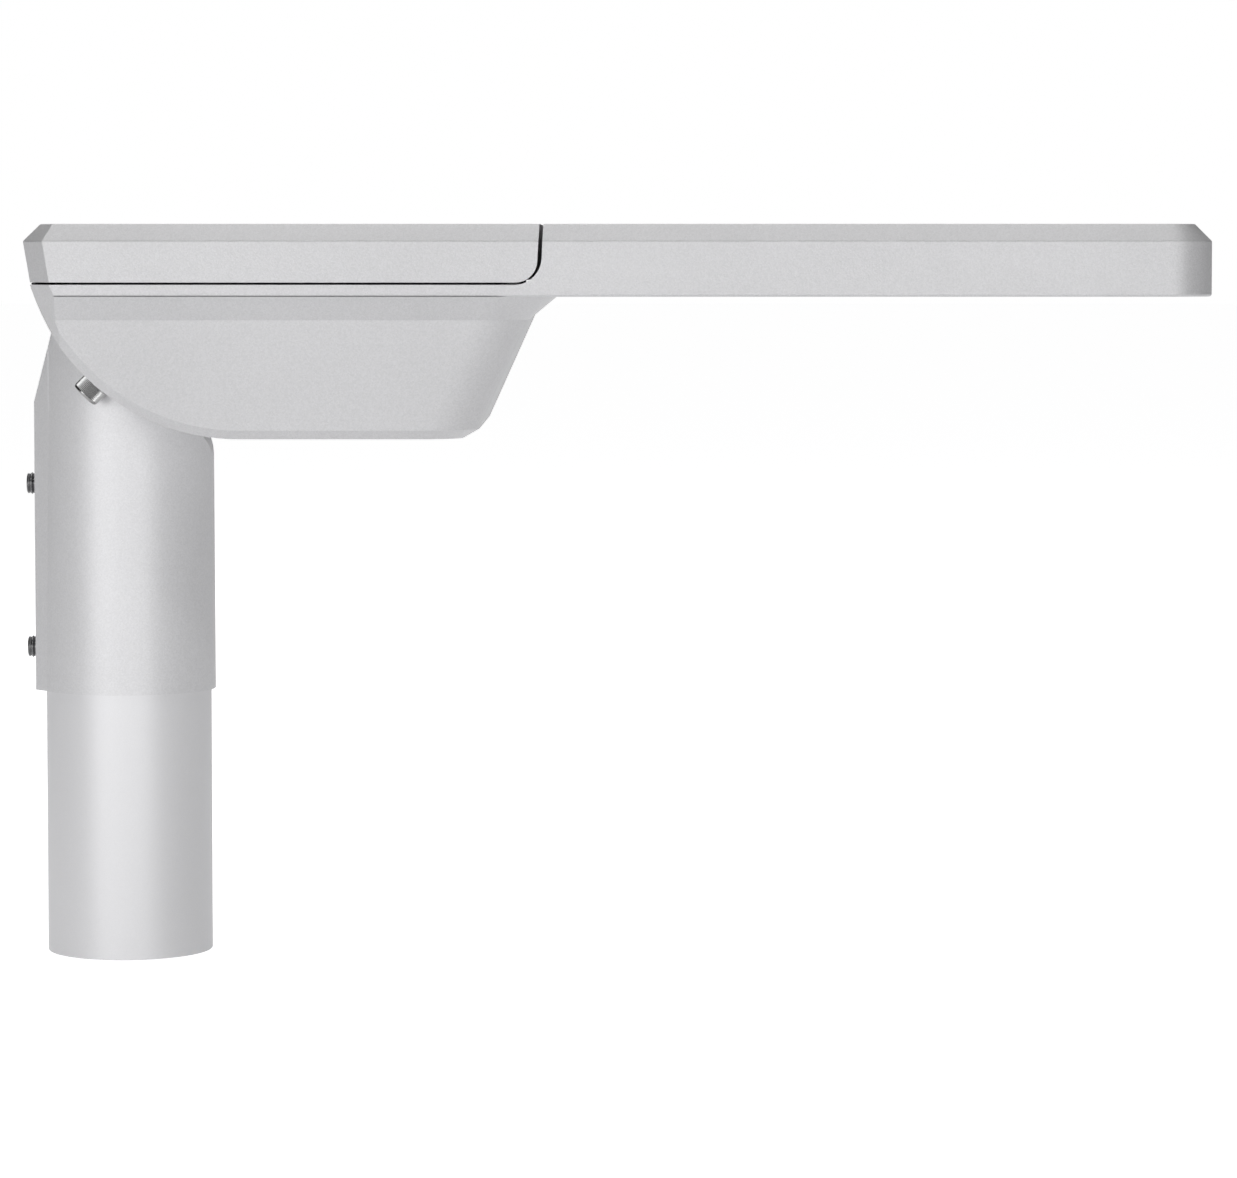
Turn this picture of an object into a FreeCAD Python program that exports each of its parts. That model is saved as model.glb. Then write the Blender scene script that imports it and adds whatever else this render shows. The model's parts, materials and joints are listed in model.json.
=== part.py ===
# Post-top LED street luminaire on a stub of its pole.
# Millimetres. +X points from the pole to the end of the light arm, +Z is up, and the
# origin is on the pole's axis at the stub's lower end.
import FreeCAD, Part
import math
import os
from FreeCAD import Vector

# Pole stub
pole_radius = 38.0
pole_wall = 3.0
pole_top = 228.0

# Adapter: a collar over the pole, carrying a saddle that the head tilts on
collar_low = 121.5
collar_radius_low = 40.0
collar_radius_high = 39.2
bore_clearance = 0.1
bore_top = 229.5
crest_round = 20.0
pad_reach = 41.9
pad_half = 10.7
pad_root_x = -34.3
pad_root_half = 19.8
pad_slope_z = 254.2
pad_slope = 0.30
set_screw_heights = (140.7, 216.3)
set_screw_radius = 5.0
set_screw_end = 46.4
set_screw_gap = 0.12
set_screw_hex = 2.89
hex_deep = 4.0

# Tilt: the head's round underside is centred on this axis, which runs along Y
tilt_x = 59.5
tilt_z = 334.5
round_radius = 94.0
saddle_gap = 0.3
saddle_wall = 4.5
flange_thick = 2.8
flange_y = (18.0, 58.0)
flange_angles = (40.0, 68.0)
tilt_range = 15.0
screw_angle = 46.0
screw_y = 49.0
screw_radius = 4.0
screw_head_radius = 6.5
screw_head_high = 8.0
screw_inner = 74.0
screw_hex = 3.46
slot_slack = 0.5
washer_thick = 1.0
washer_radius = 8.0
relief_radius = 98.0
relief_angle = 37.0
entry_angle = 52.5
entry_radius = 9.0
entry_angles = (entry_angle - 17.0, entry_angle + 4.0)
seal_radii = (11.5, 14.5)

# Head outline, seen from the side and from above
head_half = 122.5
rim_low = 303.3
parting = 308.5
parting_gap = 1.0
edge_high = 327.5
head_top = 335.0
edge_inset = head_top - edge_high
arm_end = 486.6
arm_corner = 20.0
edge_round = 1.2
band_deep = 4.0
band_wide = 3.15
facet_x = 10.0
facet_y = 14.5
rear_low_x = -30.8
rear_high_x = -33.8

# Gear box under the head
box_low = tilt_z - round_radius
panel_low = 244.5
panel_high = 293.0
panel_half_high = 114.5
panel_half_low = 104.2
front_high_x = 186.6
front_low_x = 164.9
front_rim_x = 199.0
bottom_inset = 4.0
bottom_front_inset = 7.0
box_corner = 22.0
wall = 3.5

# Cover and its gap to the arm
cover_front_high = 192.2
cover_front_low = 190.8
cover_corner = 9.5
arm_face_high = 193.9
arm_face_low = 192.7
arm_face_corner = 12.0
cover_wall = 3.0
cover_skin = 2.5
hinge_x = 179.5
hinge_z = 329.4
hinge_y = 84.0
hinge_pin_radius = 1.5
hinge_pin_half = 9.0
post_radius = 2.8
post_half = 4.0
lug_wide = 4.5

# Gear compartment
bay_rear = -6.0
bay_front = 168.0
bay_half = 108.5
bay_corner = 8.0
seal_wide = 3.5
seal_deep = 2.2
seal_proud = 0.7

# Latch at the rear edge of the cover
latch_x = -26.6
latch_z = 321.6
latch_half = 23.0
latch_pin_radius = 1.25
latch_pin_half = 19.6
latch_barrel_radius = 2.8
latch_barrel_half = 16.0
latch_opening = (311.6, 326.2)
paddle_edges = (312.1, 325.1)
paddle_thick = 2.2
hook_half = 10.0
hook_low = 300.4
catch_x = (-20.5, -13.3)
catch_z = (303.0, 304.8)
catch_screws_at = [(-16.0, y) for y in (-14.0, 14.0)]

# Light chamber in the arm
window_x = (214.0, 470.0)
window_half = 108.0
chamber_x = (225.0, 459.0)
chamber_half = 97.0
window_ledge = 311.9
chamber_top = 328.5
frame_low = 303.9
frame_thick = 2.5
frame_wide = 15.0
frame_slack = 0.4
glass_thick = 4.0
glass_inset = 10.5
glass_seal_inset = 13.0
frame_screws_at = [(x, y) for x in (220.6, 342.0, 463.4) for y in (-101.4, 101.4)]
frame_screws_at += [(x, 0.0) for x in (220.6, 463.4)]

# The lead's way from the gear bay to the light chamber
duct_y = 30.0
duct_radius = 4.0
duct_z = 317.5
duct_points = (Vector(178, duct_y, 292), Vector(203.5, duct_y, duct_z), Vector(230, duct_y, duct_z))
led_lead_radius = 2.2
mains_lead_radius = 2.6

# The gear on its tray
tray_z = 256.0
tray_thick = 1.5
tray_top = tray_z + tray_thick
tray_x = (29.0, 158.5)
tray_half = 92.0
tray_lip = 5.5
tray_screws_at = [(x, y) for x in (36.0, 152.0) for y in (-86.0, 86.0)]
tray_slots = (84.0, 116.0)
driver_box = (38.0, 156.0, 8.0, 80.0, tray_top, tray_top + 34.0)
driver_ear = 8.0
driver_ear_thick = 3.0
surge_box = (96.0, 142.0, -72.0, -40.0, tray_top, tray_top + 26.0)
rail_thick = 1.5
terminal_box = (44.0, 66.0, -74.0, -30.0, tray_top + rail_thick, tray_top + 22.0)
terminal_ways = 4
terminal_first = 6.5
terminal_pitch = 10.5
terminal_screw_x = 5.0
terminal_screw_deep = 4.0
case_round = 2.0
earth_at = (20.0, 70.0)
earth_seat = box_low + 25.0
clamp_at = [(8.0, y) for y in (12.0, 36.0)]
clamp_z = (280.2, 288.0)
clamp_grip = 6.0
vent_at = (128.0, -60.0)
vent_radius = 7.0
vent_stem_radius = 4.0

# The light unit in the arm
board_x = (234.0, 450.0)
board_half = 88.0
board_thick = 1.6
board_low = chamber_top - board_thick
board_screws_at = [(x, y) for x in (240.0, 342.0, 444.0) for y in (-82.0, 82.0)]
lens_z = 322.6
lens_thick = 1.5
lens_plate_half = (23.5, 77.0)
lens_radius = 8.0
lens_sunk = 3.0
chip_half = 1.8
chip_high = 0.8
module_count = 4
led_columns = 3
led_rows = 4
led_pitch_x = 16.0
led_pitch_y = 40.0
module_pitch = 50.0
module_first = 272.0
connector_x = 239.0
connector_size = (8.0, 6.0)

pieces = {}
along_y = Vector(0, 1, 0)


def box(x0, x1, y0, y1, z0, z1):
    return Part.makeBox(x1 - x0, y1 - y0, z1 - z0, Vector(x0, y0, z0))


def rod(radius, start, end):
    return Part.makeCylinder(radius, (end - start).Length, start, end - start)


def both_sides(shape):
    return [shape, shape.mirror(Vector(0, 0, 0), along_y)]


def outline(corners):
    """A closed wire through (point, radius) corners, each rounded by its radius."""
    edges = []
    ends = []
    for i, (point, radius) in enumerate(corners):
        before = (corners[i - 1][0] - point).normalize()
        after = (corners[(i + 1) % len(corners)][0] - point).normalize()
        if radius:
            half = before.getAngle(after) / 2
            reach = radius / math.tan(half)
            middle = (before + after).normalize()
            start = point + before * reach
            end = point + after * reach
            top = point + middle * (radius / math.sin(half) - radius)
            edges.append(Part.Arc(start, top, end).toShape())
            ends.append((start, end))
        else:
            edges.append(None)
            ends.append((point, point))
    joined = []
    for i, edge in enumerate(edges):
        if edge:
            joined.append(edge)
        start, end = ends[i][1], ends[(i + 1) % len(ends)][0]
        if (end - start).Length > 1e-6:
            joined.append(Part.LineSegment(start, end).toShape())
    return Part.Wire(joined)


def side_plate(corners, y0, y1):
    """A plate whose outline is (x, z) or (x, z, radius) corners, between two Y."""
    wire = outline([(Vector(c[0], y0, c[1]), c[2] if len(c) > 2 else 0) for c in corners])
    return Part.Face(wire).extrude(Vector(0, y1 - y0, 0))


def flat_wire(corners, z):
    return outline([(Vector(c[0], c[1], z), c[2] if len(c) > 2 else 0) for c in corners])


def flat_plate(corners, z0, z1):
    """A plate whose outline is (x, y) or (x, y, radius) corners, between two Z."""
    return Part.Face(flat_wire(corners, z0)).extrude(Vector(0, 0, z1 - z0))


def slab(x0, x1, half, radius, z0, z1):
    return flat_plate(
        [(x0, -half, radius), (x1, -half, radius), (x1, half, radius), (x0, half, radius)], z0, z1
    )


def polar(angle, radius, y=0.0):
    """A point at this radius from the tilt axis, at this angle below the rearward line."""
    turn = math.radians(angle)
    return Vector(tilt_x - radius * math.cos(turn), y, tilt_z - radius * math.sin(turn))


def tilt_sector(r0, r1, a0, a1, y0, y1):
    """A ring sector about the tilt axis, between two angles and two Y."""
    middle = (a0 + a1) / 2
    wire = Part.Wire([
        Part.Arc(polar(a0, r0, y0), polar(middle, r0, y0), polar(a1, r0, y0)).toShape(),
        Part.LineSegment(polar(a1, r0, y0), polar(a1, r1, y0)).toShape(),
        Part.Arc(polar(a1, r1, y0), polar(middle, r1, y0), polar(a0, r1, y0)).toShape(),
        Part.LineSegment(polar(a0, r1, y0), polar(a0, r0, y0)).toShape(),
    ])
    return Part.Face(wire).extrude(Vector(0, y1 - y0, 0))


def radial(radius, angle, y, r0, r1):
    """A rod pointing at the tilt axis."""
    return rod(radius, polar(angle, r0, y), polar(angle, r1, y))


def tilt_drum(radius, half):
    return rod(radius, Vector(tilt_x, -half, tilt_z), Vector(tilt_x, half, tilt_z))


def lead(points, radius, largest=1000.0):
    """A round lead along straight runs joined by the largest tangent arcs there is room for."""
    path = [Vector(*p) for p in points]
    edges = []
    last = path[0]
    for i in range(1, len(path) - 1):
        back, ahead = path[i - 1] - path[i], path[i + 1] - path[i]
        reach = 0.45 * min(back.Length, ahead.Length)
        back.normalize()
        ahead.normalize()
        half = back.getAngle(ahead) / 2
        bend = min(reach * math.tan(half), largest)
        reach = bend / math.tan(half)
        start, end = path[i] + back * reach, path[i] + ahead * reach
        top = path[i] + (back + ahead).normalize() * (bend / math.sin(half) - bend)
        edges.append(Part.LineSegment(last, start).toShape())
        edges.append(Part.Arc(start, top, end).toShape())
        last = end
    edges.append(Part.LineSegment(last, path[-1]).toShape())
    wire = Part.Wire(edges)
    ring = Part.Wire(Part.makeCircle(radius, path[0], path[1] - path[0]))
    return wire.makePipeShell([ring], True, False)


def hexagon(middle, radius, axis, deep):
    """A hexagonal recess that runs from its middle along an axis."""
    across = along_y
    other = axis.cross(across)
    turns = [math.radians(60 * i) for i in range(7)]
    ring = [middle + (across * math.cos(turn) + other * math.sin(turn)) * radius for turn in turns]
    return Part.Face(Part.makePolygon(ring)).extrude(axis * deep)


def pole_tube():
    tube = Part.makeCylinder(pole_radius, pole_top)
    return tube.cut(Part.makeCylinder(pole_radius - pole_wall, pole_top))


def collar_cut(top_x):
    """The side outline that trims the adapter: sloping rear face, open above."""
    return side_plate(
        [(-60, collar_low - 5), (top_x, collar_low - 5), (top_x, 330),
         (-pad_reach + pad_slope * (330 - pad_slope_z), 330), (-pad_reach, pad_slope_z),
         (-pad_reach - 5, pad_slope_z - 5 / pad_slope), (-60, pad_slope_z - 5 / pad_slope)],
        -80, 80)


def crest_cut():
    """What is cut away to round the collar's front top edge into the saddle."""
    edge = collar_radius_high + 0.3
    drum = round_radius + saddle_gap
    away = tilt_x - edge + crest_round
    reach = drum + crest_round
    drop = math.sqrt(reach**2 - away**2)
    middle = Vector(edge - crest_round, 0, tilt_z - drop)
    touch_x = tilt_x - drum * away / reach
    block = box(touch_x, 60, -60, 60, middle.z, middle.z + 2 * crest_round)
    ends = [Vector(middle.x, y, middle.z) for y in (-70, 70)]
    return block.cut(rod(crest_round, *ends))


def spigot_adapter():
    high = tilt_z - collar_low
    saddle = round_radius + saddle_gap
    collar = Part.makeCone(collar_radius_low, collar_radius_high, high, Vector(0, 0, collar_low))
    drum = tilt_drum(saddle, 150)
    collar = collar.cut(drum).cut(crest_cut())
    pad = flat_plate(
        [(-pad_reach, -pad_half), (pad_root_x, -pad_root_half), (-20, -pad_root_half),
         (-20, pad_root_half), (pad_root_x, pad_root_half), (-pad_reach, pad_half)],
        collar_low, 315).cut(drum)
    body = collar.fuse(pad)
    for half in both_sides(tilt_sector(saddle, saddle + flange_thick, *flange_angles, *flange_y)):
        body = body.fuse(half)
    body = body.common(collar_cut(70))
    bore = pole_radius + bore_clearance
    body = body.cut(Part.makeCylinder(bore, bore_top - collar_low + 5, Vector(0, 0, collar_low - 5)))
    dome = Part.makeCylinder(bore - 5, 90, Vector(0, 0, pole_top))
    body = body.cut(dome.cut(tilt_drum(saddle + saddle_wall, 60)))
    body = body.cut(tilt_sector(80, relief_radius, -5, relief_angle, -70, 70))
    slot_half = screw_radius + slot_slack
    slot = tilt_sector(90, 110, screw_angle, screw_angle + tilt_range,
                       screw_y - slot_half, screw_y + slot_half)
    for angle in (screw_angle, screw_angle + tilt_range):
        slot = slot.fuse(radial(slot_half, angle, screw_y, 90, 110))
    for half in both_sides(slot):
        body = body.cut(half)
    body = body.cut(radial(entry_radius, entry_angle, 0, 85, 110))
    body = body.cut(seal_groove())
    for z in set_screw_heights:
        body = body.cut(rod(set_screw_radius + 0.02, Vector(-60, 0, z), Vector(-20, 0, z)))
    return body.removeSplitter()


def seal_groove():
    inner, outer = seal_radii
    ring = radial(outer, entry_angle, 0, 88, 97).cut(radial(inner, entry_angle, 0, 88, 97))
    return ring.cut(tilt_drum(round_radius, 40))


def saddle_seal():
    inner, outer = seal_radii[0] + 0.1, seal_radii[1] - 0.1
    ring = radial(outer, entry_angle, 0, 88, 96.9).cut(radial(inner, entry_angle, 0, 88, 96.9))
    return ring.cut(tilt_drum(round_radius + saddle_gap + 0.1, 40))


def set_screws():
    screws = []
    for z in set_screw_heights:
        end = Vector(-set_screw_end, 0, z)
        screw = rod(set_screw_radius, Vector(-pole_radius - set_screw_gap, 0, z), end)
        screws.append(screw.cut(hexagon(end, set_screw_hex, Vector(1, 0, 0), hex_deep)))
    return Part.makeCompound(screws)


def side_outline():
    """The housing seen from the side, from the rear of the rim round to the arm's face."""
    rear = math.degrees(math.asin((tilt_z - parting) / round_radius))
    first = polar(rear, round_radius, -150)
    lowest = polar(90, round_radius, -150)
    arc = Part.Arc(first, polar((rear + 90) / 2, round_radius, -150), lowest).toShape()
    slope = (arm_face_high - arm_face_low) / (head_top - parting)
    rest = [(front_low_x - bottom_front_inset, box_low), (front_low_x, panel_low),
            (front_high_x, panel_high), (front_rim_x, rim_low), (arm_end + 20, rim_low),
            (arm_end + 20, head_top + 20), (arm_face_high + slope * 20, head_top + 20)]
    line = [lowest] + [Vector(x, -150, z) for x, z in rest]
    corner = Vector(arm_face_low, -150, parting)
    face = line[-1] - corner
    floor = Vector(-1, 0, 0)
    half = face.getAngle(floor) / 2
    reach = arm_face_corner / math.tan(half)
    upper = corner + face.normalize() * reach
    lower = corner + floor * reach
    middle = (face + floor).normalize()
    top = corner + middle * (arm_face_corner / math.sin(half) - arm_face_corner)
    edges = [arc]
    edges += [Part.LineSegment(a, b).toShape() for a, b in zip(line, line[1:])]
    edges.append(Part.LineSegment(line[-1], upper).toShape())
    edges.append(Part.Arc(upper, top, lower).toShape())
    edges.append(Part.LineSegment(lower, first).toShape())
    return Part.Face(Part.Wire(edges)).extrude(Vector(0, 300, 0))


def rounded_section(front, half, corner, z):
    return flat_wire([(-60, -half), (front, -half, corner), (front, half, corner), (-60, half)], z)


def gear_box_skin(shrink=0.0):
    """The tapering box under the rim, as ruled layers between rounded sections."""
    sections = [
        rounded_section(front_low_x - bottom_front_inset - shrink,
                        panel_half_low - bottom_inset - shrink, box_corner - 3 - shrink,
                        box_low + shrink),
        rounded_section(front_low_x - shrink, panel_half_low - shrink, box_corner - shrink,
                        panel_low + shrink),
        rounded_section(front_high_x - shrink, panel_half_high - shrink, box_corner - shrink,
                        panel_high),
        rounded_section(front_rim_x - shrink, head_half - shrink, box_corner + 6 - shrink, rim_low),
    ]
    layers = [Part.makeLoft([a, b], True, True) for a, b in zip(sections, sections[1:])]
    return layers[0].multiFuse(layers[1:]).removeSplitter()


def rear_facet(side):
    """What is cut from a rear corner of the rim: beyond a plane that leans under the rim."""
    a = Vector(rear_low_x + facet_x, side * head_half, parting)
    b = Vector(rear_low_x, side * (head_half - facet_y), parting)
    c = Vector(rear_low_x + facet_x + 1.5, side * panel_half_high, panel_high)
    normal = (b - a).cross(c - a)
    if normal.x > 0:
        normal = -normal
    disc = Part.Face(Part.Wire(Part.makeCircle(90, a, normal)))
    return disc.extrude(normal.normalize() * 60)


def tray_skin():
    """The rim and the light arm, with chamfered top edges and a rounded end."""
    plan = [(-60, -head_half), (arm_end, -head_half, arm_corner),
            (arm_end, head_half, arm_corner), (-60, head_half)]
    body = flat_plate(plan, rim_low, head_top)
    top = [e for e in body.Edges if e.BoundBox.ZMin > head_top - 0.01 and e.BoundBox.XMax > 0]
    body = body.makeChamfer(edge_inset, top)
    soft = [e for e in body.Edges if e.BoundBox.ZLength < 0.01 and e.BoundBox.XMax > 0]
    return body.makeFillet(edge_round, soft)


def skin_half(z):
    """Half the housing's width at a height, with the side panel carried down to the bottom."""
    if z >= rim_low:
        return head_half
    if z >= panel_high:
        share = (z - panel_high) / (rim_low - panel_high)
        return panel_half_high + (head_half - panel_half_high) * share
    share = (panel_high - z) / (panel_high - panel_low)
    return panel_half_high - (panel_half_high - panel_half_low) * share


def edge_band(side):
    """The bevel between the round underside and a side, as the wedge that is cut away."""
    heights = [parting + 4, rim_low, panel_high]
    creases = [math.degrees(math.asin((tilt_z - z) / round_radius)) for z in heights] + [90.0]
    wedge = None
    for a0, a1 in zip(creases, creases[1:]):
        steps = max(2, round((a1 - a0) / 9))
        sections = []
        for i in range(steps + 1):
            angle = a0 + (a1 - a0) * i / steps
            on_round = polar(angle, round_radius)
            on_side = polar(angle, round_radius - band_deep)
            on_round.y = side * (skin_half(on_round.z) - band_wide)
            on_side.y = side * skin_half(on_side.z)
            past = (on_side - on_round) * 0.3
            corner = polar(angle, round_radius + 2, side * (skin_half(on_round.z) + 2))
            sections.append(Part.makePolygon([on_round - past, on_side + past, corner,
                                              on_round - past]))
        part = Part.makeLoft(sections, True, a1 - a0 < 20)
        wedge = part if wedge is None else wedge.fuse(part)
    return wedge


def housing():
    profile = side_outline()
    upper = tray_skin().common(profile)
    lower = gear_box_skin().common(profile)
    body = upper.fuse(lower)
    for side in (-1, 1):
        body = body.cut(edge_band(side)).cut(rear_facet(side))
    body = body.removeSplitter()
    body = body.cut(gear_bay()).cut(latch_pocket()).cut(light_chamber())
    for shape in bosses():
        body = body.fuse(shape.common(profile))
    for shape in posts() + [catch_block()]:
        body = body.fuse(shape)
    for shape in housing_holes():
        body = body.cut(shape)
    return body.removeSplitter()


def gear_bay():
    """The hollow of the gear box, open upwards."""
    mouth = slab(bay_rear, bay_front, bay_half, bay_corner, rim_low - 1, parting + 5)
    inner = gear_box_skin(wall).common(box(bay_rear, 300, -200, 200, 200, rim_low + 1.2))
    drum = tilt_drum(round_radius - 4, 150).fuse(box(tilt_x, 300, -150, 150, 200, 330))
    return mouth.fuse(inner.common(drum))


def latch_pocket():
    pocket = box(-27, -13, -latch_half, latch_half, 297.5, parting + 5)
    return pocket.common(tilt_drum(round_radius - 2.4, 60))


def light_chamber():
    window = slab(*window_x, window_half, 10, rim_low - 5, window_ledge)
    chamber = slab(*chamber_x, chamber_half, 8, window_ledge - 1, chamber_top)
    return window.fuse(chamber)


def bosses():
    """Cast bosses inside the housing, and the thickened wall under the tilt screws."""
    shapes = []
    for side in (-1, 1):
        shapes.append(radial(8, screw_angle, side * screw_y, 70, round_radius - 1))
    for x, y in tray_screws_at:
        shapes.append(Part.makeCylinder(6, tray_z - box_low - 1, Vector(x, y, box_low + 1)))
    shapes.append(Part.makeCylinder(6, 24, Vector(*earth_at, earth_seat - 24)).common(
        tilt_drum(round_radius - 1, 150)))
    for x, y in clamp_at:
        shapes.append(Part.makeCylinder(5, 30, Vector(x, y, 250)).common(
            tilt_drum(round_radius - 1, 150)))
    return shapes


def posts():
    """The two hinge posts that rise inside the front of the cover."""
    shapes = []
    for side in (-1, 1):
        y0, y1 = side * hinge_y - post_half, side * hinge_y + post_half
        stem = side_plate([(hinge_x - post_radius, parting - 2), (hinge_x + post_radius, parting - 2),
                           (hinge_x + post_radius, hinge_z - 16.5), (hinge_x, hinge_z - 14.5),
                           (hinge_x + 2.4, hinge_z - 1.4), (hinge_x, hinge_z),
                           (hinge_x - post_radius, hinge_z)], y0, y1)
        shapes.append(stem.fuse(rod(post_radius, Vector(hinge_x, y0, hinge_z),
                                    Vector(hinge_x, y1, hinge_z))))
    return shapes


def catch_block():
    return box(-18.5, -12.5, -latch_half, latch_half, 297.0, 303.0)


def housing_holes():
    """Everything drilled or grooved in the housing after casting."""
    cuts = [
        rod(duct_radius, duct_points[0], duct_points[1]),
        rod(duct_radius, duct_points[1], duct_points[2]),
        Part.makeSphere(duct_radius, duct_points[1]),
    ]
    cuts.append(tilt_sector(80, 100, *entry_angles, -entry_radius, entry_radius))
    for side in (-1, 1):
        y = side * screw_y
        cuts.append(radial(screw_radius + 0.02, screw_angle, y, 72, 110))
        cuts.append(hinge_rod(side, hinge_pin_radius + 0.05, hinge_pin_half))
    for x, y in tray_screws_at:
        cuts.append(Part.makeCylinder(2.0, 9, Vector(x, y, tray_z - 9)))
    cuts.append(Part.makeCylinder(2.5, 9, Vector(*earth_at, earth_seat - 9)))
    for x, y in clamp_at:
        cuts.append(Part.makeCylinder(1.75, 9, Vector(x, y, 271.0)))
    for x, y in board_screws_at:
        cuts.append(Part.makeCylinder(1.5, 4, Vector(x, y, chamber_top)))
    for x, y in frame_screws_at:
        cuts.append(Part.makeCylinder(2.0, 10, Vector(x, y, window_ledge)))
    cuts.append(Part.makeCylinder(vent_radius + 0.1, 4.2, Vector(*vent_at, box_low - 2)))
    cuts.append(Part.makeCylinder(vent_stem_radius + 0.1, 12, Vector(*vent_at, box_low - 2)))
    for x, y in catch_screws_at:
        cuts.append(Part.makeCylinder(1.5, 5, Vector(x, y, 298.0)))
    cuts.append(seal_ring(0.0, parting - seal_deep, parting + 1))
    return cuts


def seal_ring(slack, z0, z1):
    """A closed band along the ledge round the gear compartment's mouth."""
    gap = 1.2
    outer = slab(bay_rear - gap - seal_wide + slack, bay_front + gap + seal_wide - slack,
                 bay_half + gap + seal_wide - slack, 9, z0, z1)
    inner = slab(bay_rear - gap - slack, bay_front + gap + slack, bay_half + gap + slack, 6, z0, z1)
    return outer.cut(inner)


def hinge_rod(side, radius, half):
    """A rod on the hinge axis, centred on one of the two hinges."""
    y = side * hinge_y
    return rod(radius, Vector(hinge_x, y - half, hinge_z), Vector(hinge_x, y + half, hinge_z))


def tilt_screws():
    seat = round_radius + saddle_gap + flange_thick + washer_thick
    shapes = []
    for side in (-1, 1):
        y = side * screw_y
        shank = radial(screw_radius, screw_angle, y, screw_inner, seat)
        head = radial(screw_head_radius, screw_angle, y, seat, seat + screw_head_high)
        start, end = polar(screw_angle, seat + hex_deep, y), polar(screw_angle, seat + 10, y)
        socket = hexagon(start, screw_hex, (end - start).normalize(), 6)
        shapes.append(shank.fuse(head).cut(socket).removeSplitter())
    return Part.makeCompound(shapes)


def tilt_washers():
    low = round_radius + saddle_gap + flange_thick
    shapes = []
    for side in (-1, 1):
        y = side * screw_y
        disc = radial(washer_radius, screw_angle, y, low, low + washer_thick)
        disc = disc.cut(tilt_drum(low + 0.02, 80))
        shapes.append(disc.cut(radial(screw_radius + 0.2, screw_angle, y, 90, 110)))
    return Part.makeCompound(shapes)


def rear_plan(rear, inset, z, front=300.0):
    """The cover's plan with its two rear facets, drawn in by inset on every side."""
    length = math.hypot(facet_x, facet_y)
    ends = facet_x * facet_y + inset * length
    rear_y = head_half - (ends - inset * facet_y) / facet_x
    side_x = rear + (ends - inset * facet_x) / facet_y
    half = head_half - inset
    points = [(rear + inset, -rear_y), (side_x, -half), (front, -half), (front, half),
              (side_x, half), (rear + inset, rear_y)]
    return Part.makePolygon([Vector(x, y, z) for x, y in points + points[:1]])


def cover_solid(inset, top):
    """The cover's whole outline as a solid: leaning rear, chamfered top, inset from the skin."""
    low = rear_plan(rear_low_x, inset, parting + parting_gap)
    edge_z = edge_high - inset * 0.4
    middle = rear_plan(rear_high_x, inset, edge_z)
    upper = rear_plan(rear_high_x, inset + top - edge_z, top)
    walls = Part.makeLoft([low, middle], True, True)
    return walls.fuse(Part.makeLoft([middle, upper], True, True)).removeSplitter()


def cover_profile():
    slope = (cover_front_high - cover_front_low) / (head_top - parting - parting_gap)
    low = parting + parting_gap
    return side_plate([(-60, low), (cover_front_low, low, cover_corner),
                       (cover_front_high + slope * 10, head_top + 10), (-60, head_top + 10)], -150, 150)


def top_cover():
    outer = cover_solid(0.0, head_top)
    soft = [e for e in outer.Edges if e.BoundBox.XMin < 250 and e.BoundBox.ZMax > parting + 2]
    outer = outer.makeFillet(edge_round, soft)
    body = outer.common(cover_profile())
    hollow = cover_solid(cover_wall, head_top - cover_skin)
    ledge_high = parting + parting_gap + 3
    high = head_top
    main = hollow.common(box(bay_rear - 1, bay_front + 0.5, -200, 200, ledge_high, high))
    mouth = slab(bay_rear - 1, bay_front + 0.5, bay_half, 6, parting, ledge_high + 1)
    rear = hollow.common(box(-60, bay_rear - 6.5, -100, 100, parting, high))
    front = hollow.common(box(bay_front + 6, cover_front_low - 3, -112, 112, parting, high))
    body = body.cut(main).cut(mouth).cut(rear).cut(front)
    for side in (-1, 1):
        y = side * hinge_y
        for lug in (y - post_half - lug_wide - 0.5, y + post_half + 0.5):
            ear = rod(post_radius, Vector(hinge_x, lug, hinge_z),
                      Vector(hinge_x, lug + lug_wide, hinge_z))
            web = box(hinge_x - post_radius, hinge_x + post_radius, lug, lug + lug_wide, hinge_z,
                      head_top - 1)
            body = body.fuse(ear.fuse(web))
        body = body.cut(hinge_rod(side, hinge_pin_radius, hinge_pin_half + 0.6))
        body = body.cut(box(cover_front_low - 5, 200, y - post_half - 1, y + post_half + 1,
                            parting, head_top - cover_skin))
    body = body.cut(box(-60, -27.4, -latch_half, latch_half, *latch_opening))
    for y in (-latch_pin_half, latch_pin_half - 3):
        ear = box(latch_x - 2.6, latch_x + 2.6, y, y + 3, latch_z - 2.6, head_top - 1)
        body = body.fuse(ear.common(cover_solid(1.0, head_top - 0.5)))
    return body.cut(latch_rod(latch_pin_radius, latch_pin_half)).removeSplitter()


def hinge_pins():
    return Part.makeCompound([hinge_rod(side, hinge_pin_radius, hinge_pin_half)
                              for side in (-1, 1)])


def latch_rod(radius, half):
    return rod(radius, Vector(latch_x, -half, latch_z), Vector(latch_x, half, latch_z))


def latch_pin():
    return latch_rod(latch_pin_radius, latch_pin_half)


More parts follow.
